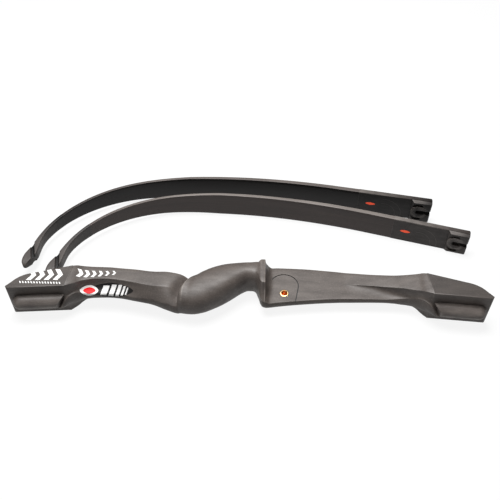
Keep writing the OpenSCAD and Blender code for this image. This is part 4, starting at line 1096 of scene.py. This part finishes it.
def limb_tip():
    """The moulded tip: it thickens towards the hollow side, with a slanted string groove in both edges."""
    rings = [limb_ring(groove_s + at, hollow_side, -belly_side, half, 1.2, 6, 5)
             for at, belly_side, hollow_side, half in smooth_rows(TIP, 2.0)]
    tip = loft("tip", rings)
    spot = place(groove_s)
    slant = shift(spot[0], spot[1], limb_z) @ Matrix.Rotation(heading(groove_s) + groove_angle, 4, "Z")
    groove_r = groove_w / 2
    for edge in (1, -1):
        level = edge * (tip_w / 2 - groove_depth + groove_r)
        outline = []
        for turn in range(0, 181, 12):
            a = math.radians(turn)
            outline.append((groove_r * math.cos(a), -edge * groove_r * math.sin(a)))
        outline += [(-groove_r - 0.8, edge * 4), (-groove_r - 0.8, edge * 9),
                    (groove_r + 0.8, edge * 9), (groove_r + 0.8, edge * 4)]
        groove = loft("groove", [[(x, y, level + z) for y, z in outline] for x in (-past, past)])
        worked(tip, moved(groove, slant))
    eased(tip, 0.3, 35)
    along, through, across = mark_run(tip)
    # Painted shade lies in the string groove, which is drawn nearly black
    aside = (along - groove_s) * -math.sin(groove_angle) + through * math.cos(groove_angle)
    below = tip_w / 2 - np.abs(across)
    keep_values(tip, "painted_shade", (np.abs(aside) < groove_r + 0.1) & (below > 1) & (below < groove_depth + 0.2))
    keep_values(tip, "outward", np.interp(along, [tip_start + 4, groove_s - 12], [0, 1]))
    mark_wear(tip, low=0.12, high=0.5)
    return smoothed(tip, 40)


# A printed mark on the butt's hollow face: a slim lozenge with rounded ends
mark_middle = 80
mark_half_len = 6.4
mark_half_w = 2.3


def limb_mark():
    """The mark as one face, just over the butt."""
    points = []
    for k in range(48):
        a = 2 * math.pi * k / 48
        z = mark_half_w * math.sin(a) * (1 - 0.25 * abs(math.cos(a)))
        points.append((mark_middle + mark_half_len * math.cos(a), butt_t / 2 + 0.06, limb_z + z))
    return piece("mark", points, [list(range(48))])


blade, butt, tip, mark = limb_blade(), limb_butt(), limb_tip(), limb_mark()
# Where each limb's butt stands in the riser's frame, and how far it is turned, in degrees
for limb, x, y, turn, laminate, butt_nylon, tip_nylon in (
        ("upper", 239.6, 150.4, 9.9, upper_laminate_shaded, upper_butt_nylon_shaded, upper_tip_nylon_shaded),
        ("lower", 279.4, 93.4, 14.6, lower_laminate_lit, lower_butt_nylon_lit, lower_tip_nylon_lit)):
    where = layout @ shift(x, y, 0) @ Matrix.Rotation(math.radians(180 - turn), 4, "Z")
    for shape, part, material, slot in ((blade, "blade", laminate, "limb_laminate"),
                                        (butt, "butt", butt_nylon, "limb_nylon"),
                                        (tip, "tip", tip_nylon, "limb_nylon")):
        made = twin(shape, f"{limb}_{part}_finished", where)
        made.data.materials.append(material)
        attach(made, f"{limb}_limb")
        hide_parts(f"{limb}_limb_{part}")
    dot = twin(mark, f"{limb}_limb_mark", where)
    dot.data.materials.append(coral_ink)
    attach(dot, f"{limb}_limb")
for obj in (blade, butt, tip, mark):
    bpy.data.objects.remove(obj)


# Printed decoration on the riser: chevrons, dashes, bars and a lozenge, laid on its surface

surface = BVHTree.FromPolygons([v.co for v in riser.data.vertices], [p.vertices for p in riser.data.polygons])
longest_edge = 1.0


def printed(name, outlines, ink, lay, towards, lift=0.12):
    """Ink shapes given as outlines, laid on the riser along a direction. lay turns an outline's point
    into a start point in the riser's own frame, and lift is the ink's height over the surface."""
    mesh = bmesh.new()
    for outline in outlines:
        corners = [mesh.verts.new((x, y, 0)) for x, y in outline]
        mesh.faces.new(corners).normal_update()
    bmesh.ops.triangulate(mesh, faces=mesh.faces)
    for _ in range(7):
        long_edges = [e for e in mesh.edges if e.calc_length() > longest_edge]
        if not long_edges:
            break
        bmesh.ops.subdivide_edges(mesh, edges=long_edges, cuts=1)
        bmesh.ops.triangulate(mesh, faces=[f for f in mesh.faces if len(f.verts) > 3])
    way = Vector(towards).normalized()
    missed = []
    for v in mesh.verts:
        hit = surface.ray_cast(layout @ (Vector(lay(v.co.x, v.co.y)) * MM), way)[0]
        if hit is None:
            missed.append(v)
        else:
            v.co = hit - way * lift * MM
    bmesh.ops.delete(mesh, geom=missed, context="VERTS")
    data = bpy.data.meshes.new(name)
    mesh.to_mesh(data)
    mesh.free()
    data.polygons.foreach_set("use_smooth", [True] * len(data.polygons))
    data.materials.append(ink)
    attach(shown(name, data), "riser_body")


def from_above(x, y):
    """A start point over the upper face of the riser."""
    return (x, y, 80)


def slanted(x, low_y, high_y, wide, lean):
    """A bar with level ends that leans along the riser."""
    return [(x, low_y), (x + wide, low_y), (x + wide + lean, high_y), (x + lean, high_y)]


def arrowhead(x, y, wide, half, point):
    """A chevron that points to the grip, from the middle of its back: wide is how long each arm is along
    the riser, half how far it reaches across, and point how far the tip stands out."""
    return [(x, y - half), (x + wide, y - half), (x + wide + point, y),
            (x + wide, y + half), (x, y + half), (x + point, y)]


def lozenge(x, y, half_x, half_y):
    """A lozenge with rounded sides."""
    outline = []
    for k in range(40):
        a = 2 * math.pi * k / 40
        outline.append((x + half_x * math.copysign(abs(math.cos(a)) ** 1.25, math.cos(a)),
                        y + half_y * math.copysign(abs(math.sin(a)) ** 1.25, math.sin(a))))
    return outline


# On the upper side of the lower end: four large chevrons, six that grow smaller towards the grip, and
# a row of dashes
large_x, large_step = -261, 10.4
small_x, small_step = -205, 8.2
dash_x, dash_step = -267, 3.3
chevrons = [arrowhead(large_x + large_step * k, -0.6 + 0.5 * k, 5.6, 7.8 + 0.1 * k, 5.0) for k in range(4)]
for k in range(6):
    wide, half, point = 4.4 - 0.4 * k, 5.8 - 0.55 * k, 3.4 - 0.2 * k
    chevrons.append(arrowhead(small_x + small_step * k, 7.8 + 0.75 * k, wide, half, point))
dashes = [slanted(dash_x + dash_step * k, -13.0, -10.2, 1.5, -1.4) for k in range(15)]
printed("chevron_print", chevrons, white_ink, from_above, (0, 0, -1))
printed("dash_print", dashes, white_ink, from_above, (0, 0, -1))

# In the scoop of the lower arm, seen from the belly side and above: a red lozenge in a white rim, and
# slanted white bars on a black field
tilt_y, tilt_z = 0.6612, 0.7501
look = Vector((0, tilt_y, -tilt_z))
look_from = 60
scoop_y, scoop_z = -12, 29


def on_scoop(x, y):
    """A start point in front of the scoop: x runs along the arm, y up the scoop."""
    return (x, scoop_y - look_from * look.y + y * tilt_z, scoop_z - look_from * look.z + y * tilt_y)


lozenge_x, lozenge_y = -190, 3.6
backing_x, backing_y = -164, 4.6
# Each bar: place along the arm, lower and upper end, width and lean
bars = [slanted(*bar) for bar in (
    (-177, -1.6, 9.8, 7.4, 3.6), (-167.2, -2.6, 11.2, 5.8, 4.2), (-159, -2.6, 11.2, 4.2, 4.2),
    (-152.4, -1.6, 9.8, 2.8, 3.6), (-147.2, -0.4, 8.2, 1.6, 2.8))]
# Each print lies 0.14 mm over the one under it
printed("scoop_backing_print", [lozenge(backing_x, backing_y, 27, 8.6)], black_ink, on_scoop, look, 0.14)
printed("scoop_rim_print", [lozenge(lozenge_x, lozenge_y, 10.6, 6.4)], white_ink, on_scoop, look, 0.28)
printed("scoop_lozenge_print", [lozenge(lozenge_x, lozenge_y, 7.2, 3.8)], red_ink, on_scoop, look, 0.42)
printed("scoop_bar_print", bars, white_ink, on_scoop, look, 0.28)


# Floor, light and camera

floor_material, tree = started("pale_floor")
path = add(tree, "ShaderNodeLightPath")
# White to the camera, which keeps the shadow in view, and grey to the light, which throws little back up
lit_grey = "#898989"
full_white = "#FFFFFF"
tone = add(tree, "ShaderNodeMix", {0: path.outputs["Is Camera Ray"], 6: lit_grey, 7: full_white},
           data_type="RGBA")
matt = add(tree, "ShaderNodeBsdfDiffuse", {"Color": tone})
# A white glow lies over it for the camera and for gloss and glass, and leaves a faint shadow
seen = add(tree, "ShaderNodeMath", {0: path.outputs["Is Camera Ray"], 1: path.outputs["Is Glossy Ray"]},
           operation="MAXIMUM")
seen = add(tree, "ShaderNodeMath", {0: seen, 1: path.outputs["Is Transmission Ray"]}, operation="MAXIMUM")
glow_share = 0.88
part = add(tree, "ShaderNodeMath", {0: seen, 1: glow_share}, operation="MULTIPLY")
white = add(tree, "ShaderNodeEmission", {"Color": full_white, "Strength": 1.0})
both = add(tree, "ShaderNodeMixShader", {0: part, 1: matt, 2: white})
add(tree, "ShaderNodeOutputMaterial", {"Surface": both})
# The floor is 12 m wide and lies a hair under the part, so that no two faces coincide
floor_half = 6000
floor_level = -0.05
corners = [(-1, -1), (1, -1), (1, 1), (-1, 1)]
floor = piece("floor", [(x * floor_half, y * floor_half, floor_level) for x, y in corners], [[0, 1, 2, 3]])
floor.data.materials.append(floor_material)

world = bpy.data.worlds.new("studio")
scene.world = world
world.use_nodes = True
tree = world.node_tree
tree.nodes.clear()
# The world lights the object dimly, and is white to the camera and through glass
dim = add(tree, "ShaderNodeBackground", {"Color": full_white, "Strength": 0.09})
white = add(tree, "ShaderNodeBackground", {"Color": full_white, "Strength": 1.0})
path = add(tree, "ShaderNodeLightPath")
seen = add(tree, "ShaderNodeMath", {0: path.outputs["Is Camera Ray"], 1: path.outputs["Is Transmission Ray"]},
           operation="MAXIMUM")
both = add(tree, "ShaderNodeMixShader", {0: seen, 1: dim, 2: white})
add(tree, "ShaderNodeOutputWorld", {"Surface": both})


def lamp(name, at, aim, wide, deep, power):
    """A soft box: a rectangular lamp at one point, aimed at another, in metres."""
    data = bpy.data.lights.new(name, "AREA")
    data.shape = "RECTANGLE"
    data.size = wide
    data.size_y = deep
    data.energy = power
    obj = shown(name, data)
    obj.location = at
    obj.rotation_euler = (Vector(aim) - Vector(at)).to_track_quat("-Z", "Y").to_euler()


lamp("top_softbox", at=(-0.15, 0.2, 1.2), aim=(0, 0, 0), wide=0.9, deep=0.6, power=23.5)
lamp("front_fill", at=(-0.35, -1.6, 0.9), aim=(0, 0, 0.02), wide=1.6, deep=0.8, power=0.8)

# The camera looks down from the front, nearly square to the layout, and is rolled by half a degree
aim = Vector((-0.000359, 0.009441, 0))
back = Vector((0.01213, -0.66119, 0.75012)).normalized()
distance = 0.90822
roll = math.radians(0.445)
right = (-back).cross(Vector((0, 0, 1))).normalized()
up = right.cross(-back)
level_right = math.cos(roll) * right + math.sin(roll) * up
level_up = -math.sin(roll) * right + math.cos(roll) * up
camera_data = bpy.data.cameras.new("camera")
camera_data.lens = 50
camera_data.sensor_width = 36
camera_data.sensor_fit = "HORIZONTAL"
camera_data.clip_start = 0.01
camera_data.clip_end = 50
camera = shown("camera", camera_data)
turn = Matrix((level_right, level_up, back)).transposed().to_4x4()
camera.matrix_world = Matrix.Translation(aim + back * distance) @ turn
scene.camera = camera
scene.view_settings.view_transform = "Standard"
